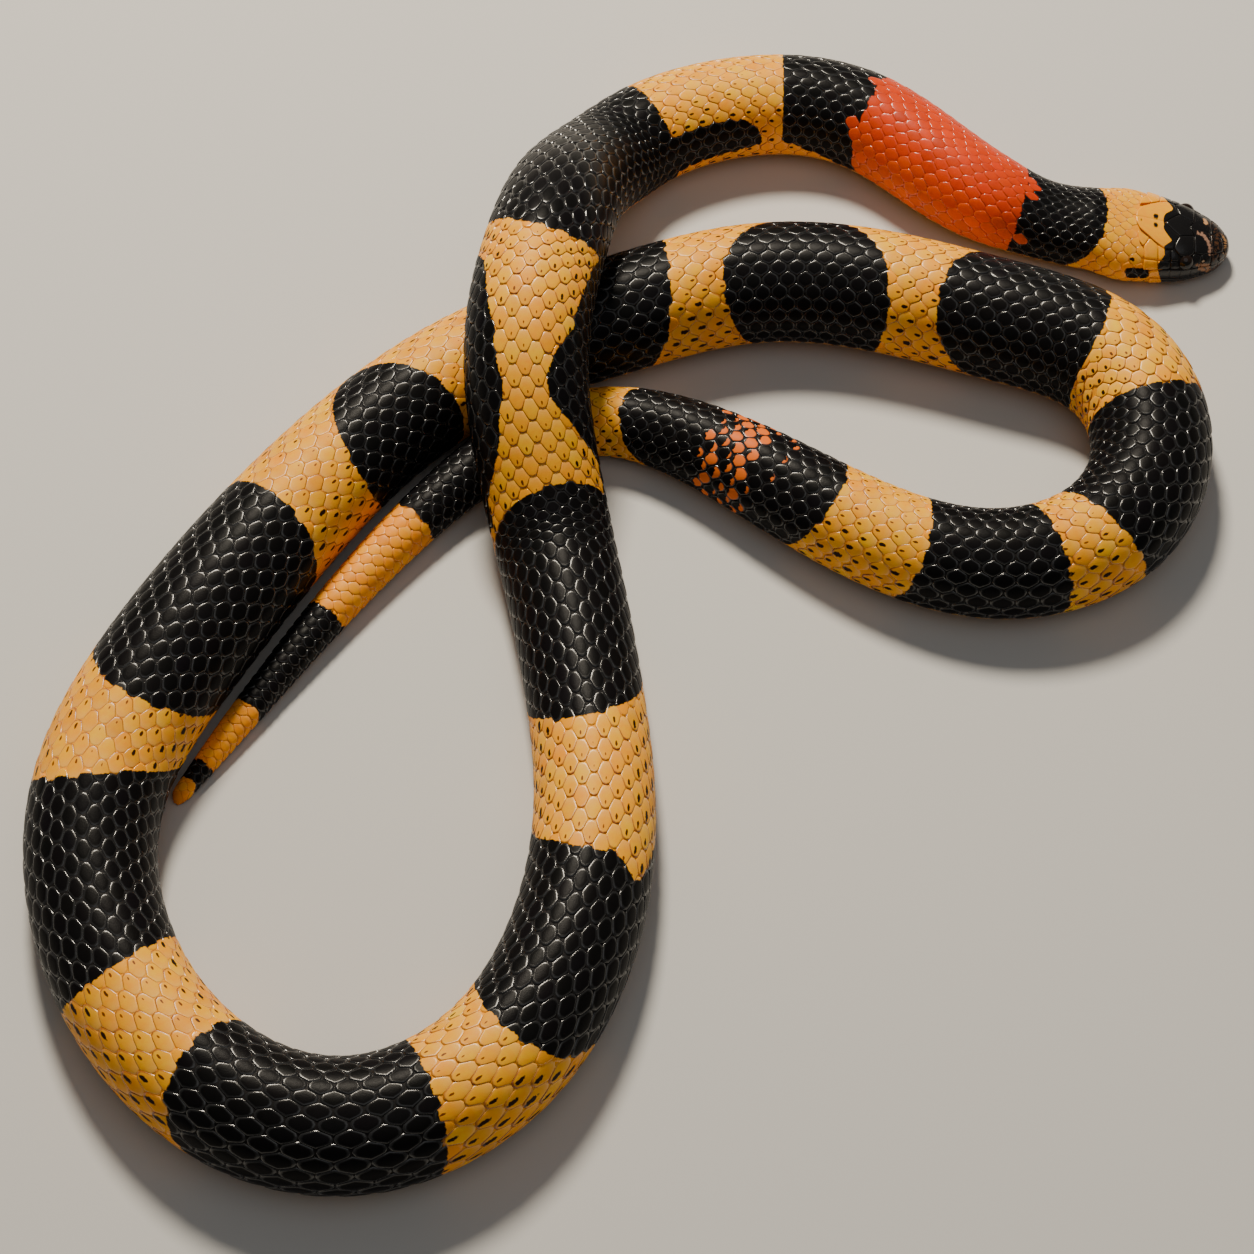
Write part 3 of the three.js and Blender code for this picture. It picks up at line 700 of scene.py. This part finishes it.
def scale_block(places, kind):
    """Points of scales, their places p and q on the scale, their s and angle, and the scales' widths."""
    at, arc, pitch, half = places.T
    size = rng.normal(1, SIZE_SPREAD, (len(at), 2))
    length = pitch / 2 * size[:, 0]
    width = 2 * half * size[:, 1]
    reach = outline_reach(kind)
    ahead = np.where(np.cos(DIRECTIONS) > 0, TIP_REACH[kind][:, None], 1)
    outline = np.stack([reach * np.cos(DIRECTIONS) * ahead, reach * np.sin(DIRECTIONS)], -1)
    rings = outline[:, None] * RINGS[None, :, None, None]
    pq = np.concatenate([np.zeros((len(at), 1, 2)), rings.reshape(len(at), -1, 2)], 1)
    p, q = pq[..., 0], pq[..., 1]
    tilt = rng.normal(0, TILT_SPREAD, (len(at), 2))
    lean = tilt[:, :1] * p + tilt[:, 1:] * q
    height = ROOT_LIFT + TIP_LIFT * (p + 1) + CROWN_LIFT * (1 - np.minimum(RADII, 1) ** 4) + lean
    plump = np.clip(half / FULL_HALF_WIDTH, LEAST_PLUMP, 1) * PLUMP[kind]
    height = np.where(RADII > 1, RIM_LIFT, height * plump[:, None]) + SCALE_LIFT
    s = at[:, None] + p * length[:, None]
    theta = QUARTER - turn_at(s, arc[:, None] + q * width[:, None])
    points = surface(s, theta, skin_depth(s)) + outward(s, theta) * height[..., None]
    points[..., 2] = np.maximum(points[..., 2], LEAST_HEIGHT)
    return points, p, q, s, theta, width


def scale_faces(count):
    shift = (np.arange(count) * len(RADII))[:, None, None]
    fan, quads = fan_faces(0, 1 + np.arange(SECTORS)), 1 + ring_faces(len(RINGS), SECTORS)
    return [(fan + shift).reshape(-1, 3), (quads + shift).reshape(-1, 4)]


# Places round a point, in millimetres along the body and round it, that tell how near a border runs;
# how long a quarter turn counts for that, and how much of a scale is looked at
BORDER_QUARTER, BORDER_SHARE = 20, 0.8
ROUND_ABOUT = [(0, 0)] + [
    (reach * math.cos(a * math.pi / 3 + reach), reach * math.sin(a * math.pi / 3 + reach))
    for reach in (0.45, 0.9, 1.3) for a in range(6)
]


def past_border(at, kind, turn, s, theta):
    """For scales that a border crosses: the kind beyond it, and how far past it each point lies."""
    middle = (turn / QUARTER)[:, None]
    s = at[:, None] + BORDER_SHARE * (s - at[:, None])
    u = middle + BORDER_SHARE * ((QUARTER - theta) / QUARTER - middle)
    here = kind_at(s, u)
    counts = np.stack([(here == k).sum(1) for k in range(len(KINDS))], 1)
    counts[np.arange(len(at)), kind] = 0
    counts[kind != kind_at(at, turn / QUARTER)] = 0
    crossed = np.flatnonzero(counts.max(1) > 0)
    other = kind.copy()
    other[crossed] = counts[crossed].argmax(1)
    past = np.zeros(s.shape)
    for along, round_ in ROUND_ABOUT:
        near = kind_at(s[crossed] + along, u[crossed] + round_ / BORDER_QUARTER)
        past[crossed] += (near == other[crossed, None]) / len(ROUND_ABOUT)
    return other, past


def scale_tints(kind, turn):
    """Colour of each scale, a little different from its neighbours'."""
    tint = PALETTE[kind].copy()
    u = (turn / QUARTER)[:, None]
    for of, paint, share in (
        (YELLOW_KIND, PEACH, 0.55 * np.clip((np.abs(u) - 0.35) / 0.5, 0, 1)),
        (RED_KIND, FLAME, np.clip((u - 0.45) / 0.5, 0, 1)),
    ):
        tint = np.where((kind == of)[:, None], tint * (1 - share) + np.array(paint) * share, tint)
    shade = rng.normal(1, 0.07, (len(kind), 1))
    hue = rng.normal(1, 0.04, (len(kind), 3))
    return np.clip(tint * shade * hue, 0.004, 0.95)


def scale_marks(at, kind, turn):
    """Strength of the tip's arc and of the flank's slot, and how far a part-orange scale is orange."""
    side = turn / QUARTER
    u = np.abs(side)
    count = len(at)
    arc = np.where(kind == YELLOW_KIND, rng.uniform(0.6, 1, count), 0)
    arc = np.where(kind == RED_KIND, rng.uniform(0.1, 0.35, count), arc)
    arc = np.where(kind == ORANGE_KIND, 0.35, arc)
    likely = np.clip(0.75 + 0.6 * u, 0, 0.97) * np.clip((at - 105) / 30, 0.08, 1)
    marked = np.isin(kind, [YELLOW_KIND, TAN_KIND]) & (rng.random(count) < likely)
    slot = np.where(marked, np.clip(0.28 + 0.95 * u, 0, 1) * rng.uniform(0.7, 1.15, count), 0)
    black = kind == BLACK_KIND
    ember = np.full(count, NO_EMBER)
    sown = rng.uniform(-0.7, 0.75, count)
    stray = black & inside(at, *STRAY_EMBER_SPAN) & (rng.random(count) < 0.12)
    ember = np.where(stray, rng.uniform(-0.9, -0.3, count), ember)
    ember = np.where(black & inside(at + 1.2 * side, *EMBER_SPAN), sown, ember)
    return arc, slot, ember


def make_scales(name, places):
    at = places[:, 0]
    turn = turn_at(at, places[:, 1])
    kind = scale_kind(at, turn / QUARTER)
    points, p, q, s, theta, width = scale_block(places, kind)
    made = make_mesh(name, points.reshape(-1, 3), scale_faces(len(places)), SCALE_MATERIAL)
    tint = scale_tints(kind, turn)
    other, past = past_border(at, kind, turn, s, theta)
    beyond = scale_tints(other, turn)
    arc, slot, ember = scale_marks(at, kind, turn)
    pale, dark = np.isin(kind, [YELLOW_KIND, ORANGE_KIND]), kind == BLACK_KIND
    each = lambda values: np.repeat(values, len(RADII), 0)
    for key, values in (("tint", tint), ("beyond", beyond)):
        attribute(made, key, each(values), "FLOAT_COLOR")
    for key, values in (("arc", arc), ("slot", slot), ("ember", ember), ("pale", pale), ("dark", dark)):
        attribute(made, key, each(values))
    attribute(made, "past", past)
    attribute(made, "ring", np.tile(RADII, len(places)))
    reach = outline_reach(kind)
    tip, side = reach[:, :1], reach[:, len(SIDE_DIRECTIONS), None]
    uv_map(made, "scale", np.stack([(p / tip + 1) / 2, (q / side + 1) / 2], -1))
    at, turn = at[:, None], turn[:, None]
    turns = turn + BAKE_SHARE * q * (width / half_girth(places[:, 0]) * np.pi)[:, None]
    uv_map(made, "OFBake", unwrap(at + BAKE_SHARE * (s - at), turns, at))
    return made


# Wide plates of the belly, one for each scale of the back, their free edges towards the tail: how far
# each reaches past the next, how far past the lowest row of scales, and its lift along its length
SCUTE_REACH, SCUTE_MARGIN = 1.06, 0.012
SCUTE_ALONG = np.array([0, 0.25, 0.6, 0.9, 1.0])
SCUTE_LIFT = np.array([0.02, 0.10, 0.17, 0.2, 0.02])
SCUTE_COLUMNS = 25


def make_scutes():
    whole = np.arange(math.ceil(np.interp(FIRST_SCUTE, PHASE_S, PHASE)), math.floor(PHASE[-1]) - 1)
    at, end = (np.interp(whole + reach, PHASE, PHASE_S)[:, None, None] for reach in (0, SCUTE_REACH))
    across = np.linspace(-1, 1, SCUTE_COLUMNS)
    s = at + (end - at) * SCUTE_ALONG[:, None]
    arc = half_girth(s) - np.abs(across) * half_girth(s) * (SCUTE_SHARE + SCUTE_MARGIN)
    turn = turn_at(s, arc) * np.where(across < 0, -1, 1)
    s = np.broadcast_to(s, turn.shape)
    height = SCUTE_LIFT[:, None] * (1 - 0.8 * np.abs(across) ** 6)
    theta = QUARTER - turn
    points = surface(s, theta, skin_depth(s)) + outward(s, theta) * height[..., None]
    points[..., 2] = np.maximum(points[..., 2], LEAST_HEIGHT)
    cell = ring_faces(len(SCUTE_ALONG), SCUTE_COLUMNS, closed=False)[:, [0, 3, 2, 1]]
    faces = (cell + (np.arange(len(at)) * height.size)[:, None, None]).reshape(-1, 4)
    made = make_mesh("belly_scutes", points.reshape(-1, 3), faces, SCALE_MATERIAL)
    tint = PALETTE[kind_at(s, turn / QUARTER)].reshape(-1, 3)
    for key in ("tint", "beyond"):
        attribute(made, key, tint, "FLOAT_COLOR")
    for key, value in (("arc", 0.5), ("slot", 0), ("ember", NO_EMBER), ("pale", 0), ("past", 0), ("dark", 0)):
        attribute(made, key, np.full(s.shape, value))
    along = np.broadcast_to(SCUTE_ALONG[:, None], s.shape)
    attribute(made, "ring", along * 0.9)
    uv_map(made, "scale", np.stack([along, np.full(s.shape, 0.5)], -1))
    uv_map(made, "OFBake", unwrap(at + (s - at) * BAKE_SHARE, turn, at))
    return made


# Plates of the head, as outlines of places: s, and degrees from the crown
CROWN_PLATES = {
    "rostral": [(2.1, 0), (1.5, 28), (1, 60), (0.85, 90), (0.75, 110), (0.05, 110), (0.03, 60), (0.03, 0)],
    "frontal": [(10.7, 0), (9.5, 9), (12.9, 13.2), (16.4, 0)],
}
MENTAL = [(0.05, 180), (0.05, 124), (0.9, 126), (1.7, 148), (2.2, 180)]
SIDE_PLATES = {
    "internasal": [(2.35, 0.2), (1.75, 28), (1.85, 42), (4.55, 40), (5.05, 0.2)],
    "prefrontal": [(5.35, 0.2), (4.85, 40), (6.9, 43), (8.95, 39), (9.2, 9.6), (10.4, 0.2)],
    "supraocular": [
        (9.65, 10.4), (9.2, 38), (9.7, 43.5), (10.7, 46), (11.9, 46), (12.9, 43), (14.1, 34),
        (13.8, 26), (13, 14.8),
    ],
    "parietal": [
        (16.7, 0.2), (13.3, 15.2), (14.1, 26), (14.4, 34), (16.3, 35.5), (17.9, 30), (20.3, 21),
        (22.7, 13.5), (23.7, 6), (23.9, 0.2),
    ],
    "front_nasal": [
        (1.75, 45), (1.25, 62), (1.15, 75), (2.5, 75), (2.65, 67), (2.5, 60), (2.75, 52), (2.85, 44.5),
    ],
    "rear_nasal": [(2.95, 44.5), (2.9, 52), (3.4, 60), (3, 67), (2.65, 75), (4.6, 73.5), (4.6, 43.5)],
    "loreal": [(4.95, 43.5), (4.9, 72.5), (7.2, 71.5), (7.2, 46)],
    "preocular": [
        (7.5, 46), (7.45, 71.5), (9, 71.5), (9.4, 67), (9.15, 58), (9.45, 50), (9.5, 46), (9, 42),
    ],
    "upper_postocular": [(14.2, 38), (13.2, 44.5), (12.9, 50), (13, 55), (14.6, 55), (14.8, 38.5)],
    "lower_postocular": [(13, 57.5), (12.9, 63), (12.5, 68.5), (13.3, 70.5), (14.5, 69.5), (14.7, 57.5)],
    "front_temporal_1": [(15.1, 38.5), (15, 54.5), (17.6, 54.5), (18, 32.5), (16.6, 37.4)],
    "front_temporal_2": [(15, 57), (14.9, 70), (17.5, 71.5), (17.6, 57)],
    "rear_temporal_1": [(18.3, 32.5), (18, 54), (21, 53), (21.4, 36), (20.2, 24.5)],
    "rear_temporal_2": [(18, 56.5), (17.9, 72), (21, 72), (21, 55.5)],
    "behind_temporal": [(20.5, 23.8), (21.7, 35), (22.6, 30), (23.3, 17.5)],
}
LIP_EDGE = [(0, 113), (0.8, 110), (3, 101), (6, 97), (10, 94), (15, 90.5), (19, 88.5)]
UPPER_LIP_TOP = [(1, 78), (7, 74), (10, 73.7), (12.8, 73.7), (15, 73), (19, 75)]
UPPER_LIP_PARTS = [1.1, 2.9, 4.8, 7.1, 9.5, 12, 14.6, 17.2, 19.4]
LOWER_LIP_PARTS = [0.9, 2.4, 4, 5.8, 7.8, 10, 12.4, 14.9, 17.2, 19.2]
LIP_OPENING, LIP_DEPTH = 3.5, 22
CHIN_PLATES = [
    [(2.5, 179.5), (1.95, 150), (2.5, 136), (6.9, 131), (7.4, 150), (7.2, 179.5)],
    [(7.5, 176), (7.7, 150), (7.3, 131), (11.6, 127), (11.3, 150), (9.6, 172)],
]
# How far plates grow into the seams between them, and how high they stand
PLATE_GROWTH, PLATE_RISE, OTHER_RISE = 0.12, {"rostral": 0.04, "supraocular": 0.22}, 0.13

# A plate's rounded rim: how far in from its edge, and what share of its full height
RIM_INWARD = np.array([0.75, 0.45, 0.25, 0.12, 0.04, 0])
RIM_HEIGHT = np.array([1, 0.94, 0.78, 0.48, 0.1, -1])
PLATE_INNER = np.array([0.33, 0.67])

EYE_S, EYE_ACROSS, EYE_HEIGHT, EYE_RADIUS = 11.2, 7.75, 7.15, 2.28
EYE_OUT, EYE_UP, PUPIL = 0.94, 0.3, 0.42


def head_normal(s, theta):
    """Which way the head's surface faces, truer than outward where it curves both ways."""
    reach = 0.03
    along = surface(s + reach, theta) - surface(np.maximum(s - reach, 0.005), theta)
    around = surface(s, theta + 0.01) - surface(s, theta - 0.01)
    out = unit(np.cross(along, around))
    middle = foot(s) + np.array([0, 0, 1.0]) * form(s)[3][..., None]
    facing = ((surface(s, theta) - middle) * out).sum(-1, keepdims=True)
    return out * np.where(facing < 0, -1, 1)


def plate_edge(outline, step=0.3):
    """An outline walked in short steps, its corners a little rounded."""
    outline = np.array(outline, float)
    places = []
    for a, b in zip(outline, np.roll(outline, -1, 0)):
        ends = surface(np.array([a[0], b[0]]), QUARTER - np.radians([a[1], b[1]]))
        steps = max(2, int(round(np.linalg.norm(ends[0] - ends[1]) / step)))
        places.extend(a + (b - a) * k / steps for k in range(steps))
    places = np.array(places)
    return 0.5 * places + 0.25 * np.roll(places, 1, 0) + 0.25 * np.roll(places, -1, 0)


def plate_points(name, outline, hand):
    """A flat-topped plate: its points, faces, and each point's s and turn."""
    edge = plate_edge(outline)
    hub = np.array(outline, float).mean(0)
    theta = lambda place: QUARTER - hand * np.radians(place[..., 1])
    reach = np.linalg.norm(surface(edge[:, 0], theta(edge)) - surface(hub[0], theta(hub)), axis=1)
    rim = RIM_INWARD * min(1, 0.7 * reach.min() / RIM_INWARD[0])
    share = 1 - rim[:, None] / reach[None]
    share = np.concatenate([PLATE_INNER[:, None] * share[:1], share])
    shape = hub + (edge - hub)[None] * (share * (1 + PLATE_GROWTH / reach[None]))[..., None]
    places = np.concatenate([hub[None], shape.reshape(-1, 2)])
    top = PLATE_RISE.get(name, OTHER_RISE)
    height = top * np.concatenate([[1.2], 1.2 - 0.2 * PLATE_INNER ** 2, RIM_HEIGHT])
    height = np.concatenate([height[:1], np.repeat(height[1:], len(edge))])
    s, turn = np.maximum(places[:, 0], 0.02), hand * np.radians(places[:, 1])
    points = surface(s, QUARTER - turn) + head_normal(s, QUARTER - turn) * height[:, None]
    points[:, 2] = np.maximum(points[:, 2], LEAST_HEIGHT)
    quads = 1 + ring_faces(len(share), len(edge))
    fan = fan_faces(0, 1 + np.arange(len(edge)))
    return points, np.concatenate([fan, quads[:, :3], quads[:, [0, 2, 3]]]), s, turn


def mirrored(half, line):
    other = [place for place in half if place[1] != line][::-1]
    return list(half) + [(s, 2 * line - degrees) for s, degrees in other]


def lip_outlines():
    outlines = []
    for parts, upper in ((UPPER_LIP_PARTS, True), (LOWER_LIP_PARTS, False)):
        for a, b in zip(parts, parts[1:]):
            a, b = a + 0.05, b - 0.05
            near = [look_up(LIP_EDGE, x) + (0 if upper else LIP_OPENING) for x in (a, b)]
            far = [look_up(UPPER_LIP_TOP, x) if upper else near[k] + LIP_DEPTH for k, x in enumerate((a, b))]
            outlines.append([(a, near[0]), (b, near[1]), (b, far[1]), (a, far[0])])
    return outlines


def join(parts):
    """Several (points, faces, s, turn) as one."""
    points, faces, s, turn = zip(*parts)
    shift = np.cumsum([0] + [len(part) for part in points])
    faces = [part + start for part, start in zip(faces, shift)]
    return [np.concatenate(each) for each in (points, faces, s, turn)]


def make_head_plates():
    parts = [plate_points(name, mirrored(half, 0), 1) for name, half in CROWN_PLATES.items()]
    parts.append(plate_points("mental", mirrored(MENTAL, 180), 1))
    for hand in (1, -1):
        parts.extend(plate_points(name, outline, hand) for name, outline in SIDE_PLATES.items())
        parts.extend(plate_points("lip", outline, hand) for outline in lip_outlines())
        parts.extend(plate_points("chin", outline, hand) for outline in CHIN_PLATES)
    points, faces, s, turn = join(parts)
    made = make_mesh("head_plates", points, faces, HEAD_MATERIAL)
    head_paint(made, s, turn)
    uv_map(made, "OFBake", head_unwrap(s, turn))
    return made


# Pattern of the head: the front edge of the yellow collar, by degrees from the crown
COLLAR_EDGE = [
    (-180, 15), (-99, 16), (-85, 16.8), (-74, 17.4), (-62, 17.8), (-43, 16.7), (-23, 14.8), (-18, 15.1),
    (-8, 17), (-1, 17.2), (3, 17), (7, 17.3), (17, 15.8), (23, 14.8), (32, 16.7), (46, 16.4), (62, 17.8),
    (74, 17.5), (85, 17), (99, 16.3), (180, 15),
]

# Spots on the head: s, degrees from the crown and radius in millimetres, and how long a degree is
DEGREE = 0.13
SNOUT_STRIP = [
    (2, -12, 0.35), (1.6, -6, 0.4), (1.3, 0, 0.4), (1.25, 10, 0.4), (1.25, 20, 0.4), (1.35, 30, 0.4),
    (1.5, 40, 0.4), (1.5, 50, 0.4), (1.1, 60, 0.4), (0.8, 70, 0.4), (0.6, 84, 0.35), (2.8, 110, 0.35),
    (1.4, 111, 0.3),
]
TAN_SPOT = [(6.6, -26, 0.5), (6.5, -22, 0.6), (6.5, -17, 0.5)]
PINK_LINE = [
    (8.4, 5, 0.35), (7.5, 5, 0.4), (6.9, 7, 0.42), (6.4, 11, 0.45), (5.9, 16, 0.5), (5.5, 22, 0.5),
    (5.3, 29, 0.5), (5.2, 37, 0.5), (5.2, 44, 0.42),
]
# a painted highlight: a pale glint on the side of the snout
PAINTED_GLINT = [(6.8, 59, 0.22)]
BROWN_PATCH = [
    (8.2, 66, 0.4), (7.3, 68, 0.6), (6.3, 70, 0.7), (5.5, 72, 0.7), (5.2, 79, 0.6), (5.2, 88, 0.6),
    (6.4, 82, 0.6), (7.2, 77, 0.6),
]
COLLAR_DOTS = [
    (18.9, -3.5, 0.4), (19.3, -3.5, 0.4), (18.9, 6, 0.36), (19.2, 6, 0.36), (22.7, 4, 0.16),
    (20.2, 82, 0.7), (20.9, 84, 0.6),
]


def head_paint(made, s, turn):
    """Each point's place on the head and its distance behind the collar's edge, for the shader."""
    degrees = (np.degrees(turn) + 180) % 360 - 180
    attribute(made, "collar", s - read_off(COLLAR_EDGE, degrees))
    place = np.stack([s, degrees * DEGREE, 0 * s], -1)
    attribute(made, "place", place, "FLOAT_VECTOR")


def within(m, place, table, wobble):
    """1 inside the round spots of a table, with a wavering edge."""
    nearest = 99.0
    for s, degrees, radius in table:
        apart = m.nodes.new("ShaderNodeVectorMath")
        apart.operation = "DISTANCE"
        m.feed(apart.inputs, {0: place, 1: (s, degrees * DEGREE, 0)})
        nearest = m.maths("MINIMUM", nearest, m.less(apart.outputs["Value"], radius))
    return m.ramp(m.plus(nearest, wobble), 0.14, -0.14)


def head_material():
    """Plates of the head: black, mottled brown on the snout with a painted highlight, and the yellow of the
    collar.
    """
    m = Material("head")
    place = m.read("place", "Vector")
    waver = m.line(m.noise(1500, 4.0, 0.7), 1.3, -0.65)
    snout = m.ramp(m.split(place)["X"], 6.5, 3.5)
    mottle = m.times(m.ramp(m.noise(1150, 3.0, 0.7), 0.50, 0.60), snout)
    colour = m.mix(m.times(mottle, 0.8), BLACK, (0.11, 0.045, 0.018))
    # spots of the snout's pattern, and among them one painted highlight
    for table, paint in (
        (SNOUT_STRIP, (0.36, 0.19, 0.08)), (BROWN_PATCH, (0.30, 0.13, 0.05)),
        (PINK_LINE, (0.34, 0.19, 0.13)), (TAN_SPOT, (0.60, 0.32, 0.15)), (PAINTED_GLINT, (0.7, 0.48, 0.3)),
    ):
        colour = m.mix(within(m, place, table, waver), colour, paint)
    gold = m.mix(within(m, place, COLLAR_DOTS, m.times(waver, 0.25)), m.clouded(YELLOW), BLACK)
    colour = m.mix(m.maths("GREATER_THAN", m.read("collar"), 0.0), colour, gold)
    m.bump(m.noise(2600, 3.0, 0.6), 0.00008, 0.35)
    return m.finish(colour, 0.24, 0.5)


HEAD_MATERIAL = head_material()


def eye_material():
    """A glossy black eye with a dark brown iris round the pupil."""
    m = Material("eye")
    iris = m.ramp(m.read("off_axis"), PUPIL - 0.03, PUPIL + 0.03)
    return m.finish(m.mix(iris, (0.003, 0.003, 0.003), (0.012, 0.006, 0.004)), 0.1, 0.45)


EYE_MATERIAL = eye_material()


def make_eye(name, hand):
    """A smooth ball, its pole turned out from the head."""
    at = np.array(EYE_S)
    _, side, up = axes(at)
    centre = foot(at) + side * hand * EYE_ACROSS + up * EYE_HEIGHT
    pole = unit(side * hand * EYE_OUT + up * EYE_UP)
    east = unit(np.cross(pole, up))
    north = np.cross(east, pole)
    rows, columns = 32, 48
    fall = np.linspace(0, np.pi, rows + 1)[1:-1, None, None]
    round_ = (np.arange(columns) * 2 * np.pi / columns)[None, :, None]
    shell = pole * np.cos(fall) + (east * np.cos(round_) + north * np.sin(round_)) * np.sin(fall)
    points = centre + EYE_RADIUS * np.concatenate([pole[None], shell.reshape(-1, 3), -pole[None]])
    ring = 1 + np.arange(columns)
    last = (rows - 2) * columns + ring[::-1]
    caps = [fan_faces(0, ring), fan_faces(len(points) - 1, last)]
    made = make_mesh(name, points, [1 + ring_faces(rows - 1, columns), *caps], EYE_MATERIAL)
    away = 1 - np.concatenate([[1], np.repeat(np.cos(fall).ravel(), columns), [-1]])
    attribute(made, "off_axis", np.sqrt(np.maximum(away, 0)))
    return made


skin = own(make_skin())
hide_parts(*[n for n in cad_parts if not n.startswith("eye")])
for index, part in enumerate(np.array_split(scale_places(), SCALE_PIECES)):
    own(make_scales(f"scales_{index + 1}", part))
own(make_scutes())
own(make_head_plates())
for side_name, hand in (("left", -1), ("right", 1)):
    eye = own(make_eye(f"eyeball_{side_name}", hand))
    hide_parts(f"eye_{side_name}")


# Floor, light and camera
FLOOR_REACH = 3000
CAMERA_TARGET, CAMERA_ELEVATION, CAMERA_DISTANCE = Vector((-0.0085, -0.0095, 0)), math.radians(58), 0.75


def aim(made, place, target):
    made.location = place
    made.rotation_euler = (target - made.location).to_track_quat("-Z", "Y").to_euler()


def area_light(name, place, size, power, colour):
    data = bpy.data.lights.new(name, "AREA")
    data.shape, data.size, data.energy, data.color = "DISK", size, power, colour
    aim(add_object(name, data), place, Vector((0, 0, 0)))


def make_floor():
    corners = [(x * FLOOR_REACH, y * FLOOR_REACH, 0) for x, y in ((-1, -1), (1, -1), (1, 1), (-1, 1))]
    grey = Material("floor").finish((0.60, 0.59, 0.57), 0.75, 0.5)
    floor = make_mesh("floor", corners, np.array([[0, 1, 2, 3]]), grey)


make_floor()
area_light("key", (-0.16, 0.80, 0.98), 0.26, 25, (1, 0.9, 0.74))
area_light("sky", (0.3, -0.4, 1.6), 1.6, 3, (0.95, 0.97, 1))
world = bpy.data.worlds.new("world")
bpy.context.scene.world = world
world.use_nodes = True
background = world.node_tree.nodes["Background"]
background.inputs["Color"].default_value = (1, 0.96, 0.9, 1)
background.inputs["Strength"].default_value = 0.12

camera_data = bpy.data.cameras.new("camera")
camera_data.lens, camera_data.sensor_width = 93.65, 36
camera = add_object("camera", camera_data)
away = Vector((0, -math.cos(CAMERA_ELEVATION), math.sin(CAMERA_ELEVATION)))
aim(camera, CAMERA_TARGET + CAMERA_DISTANCE * away, CAMERA_TARGET)
bpy.context.scene.camera = camera
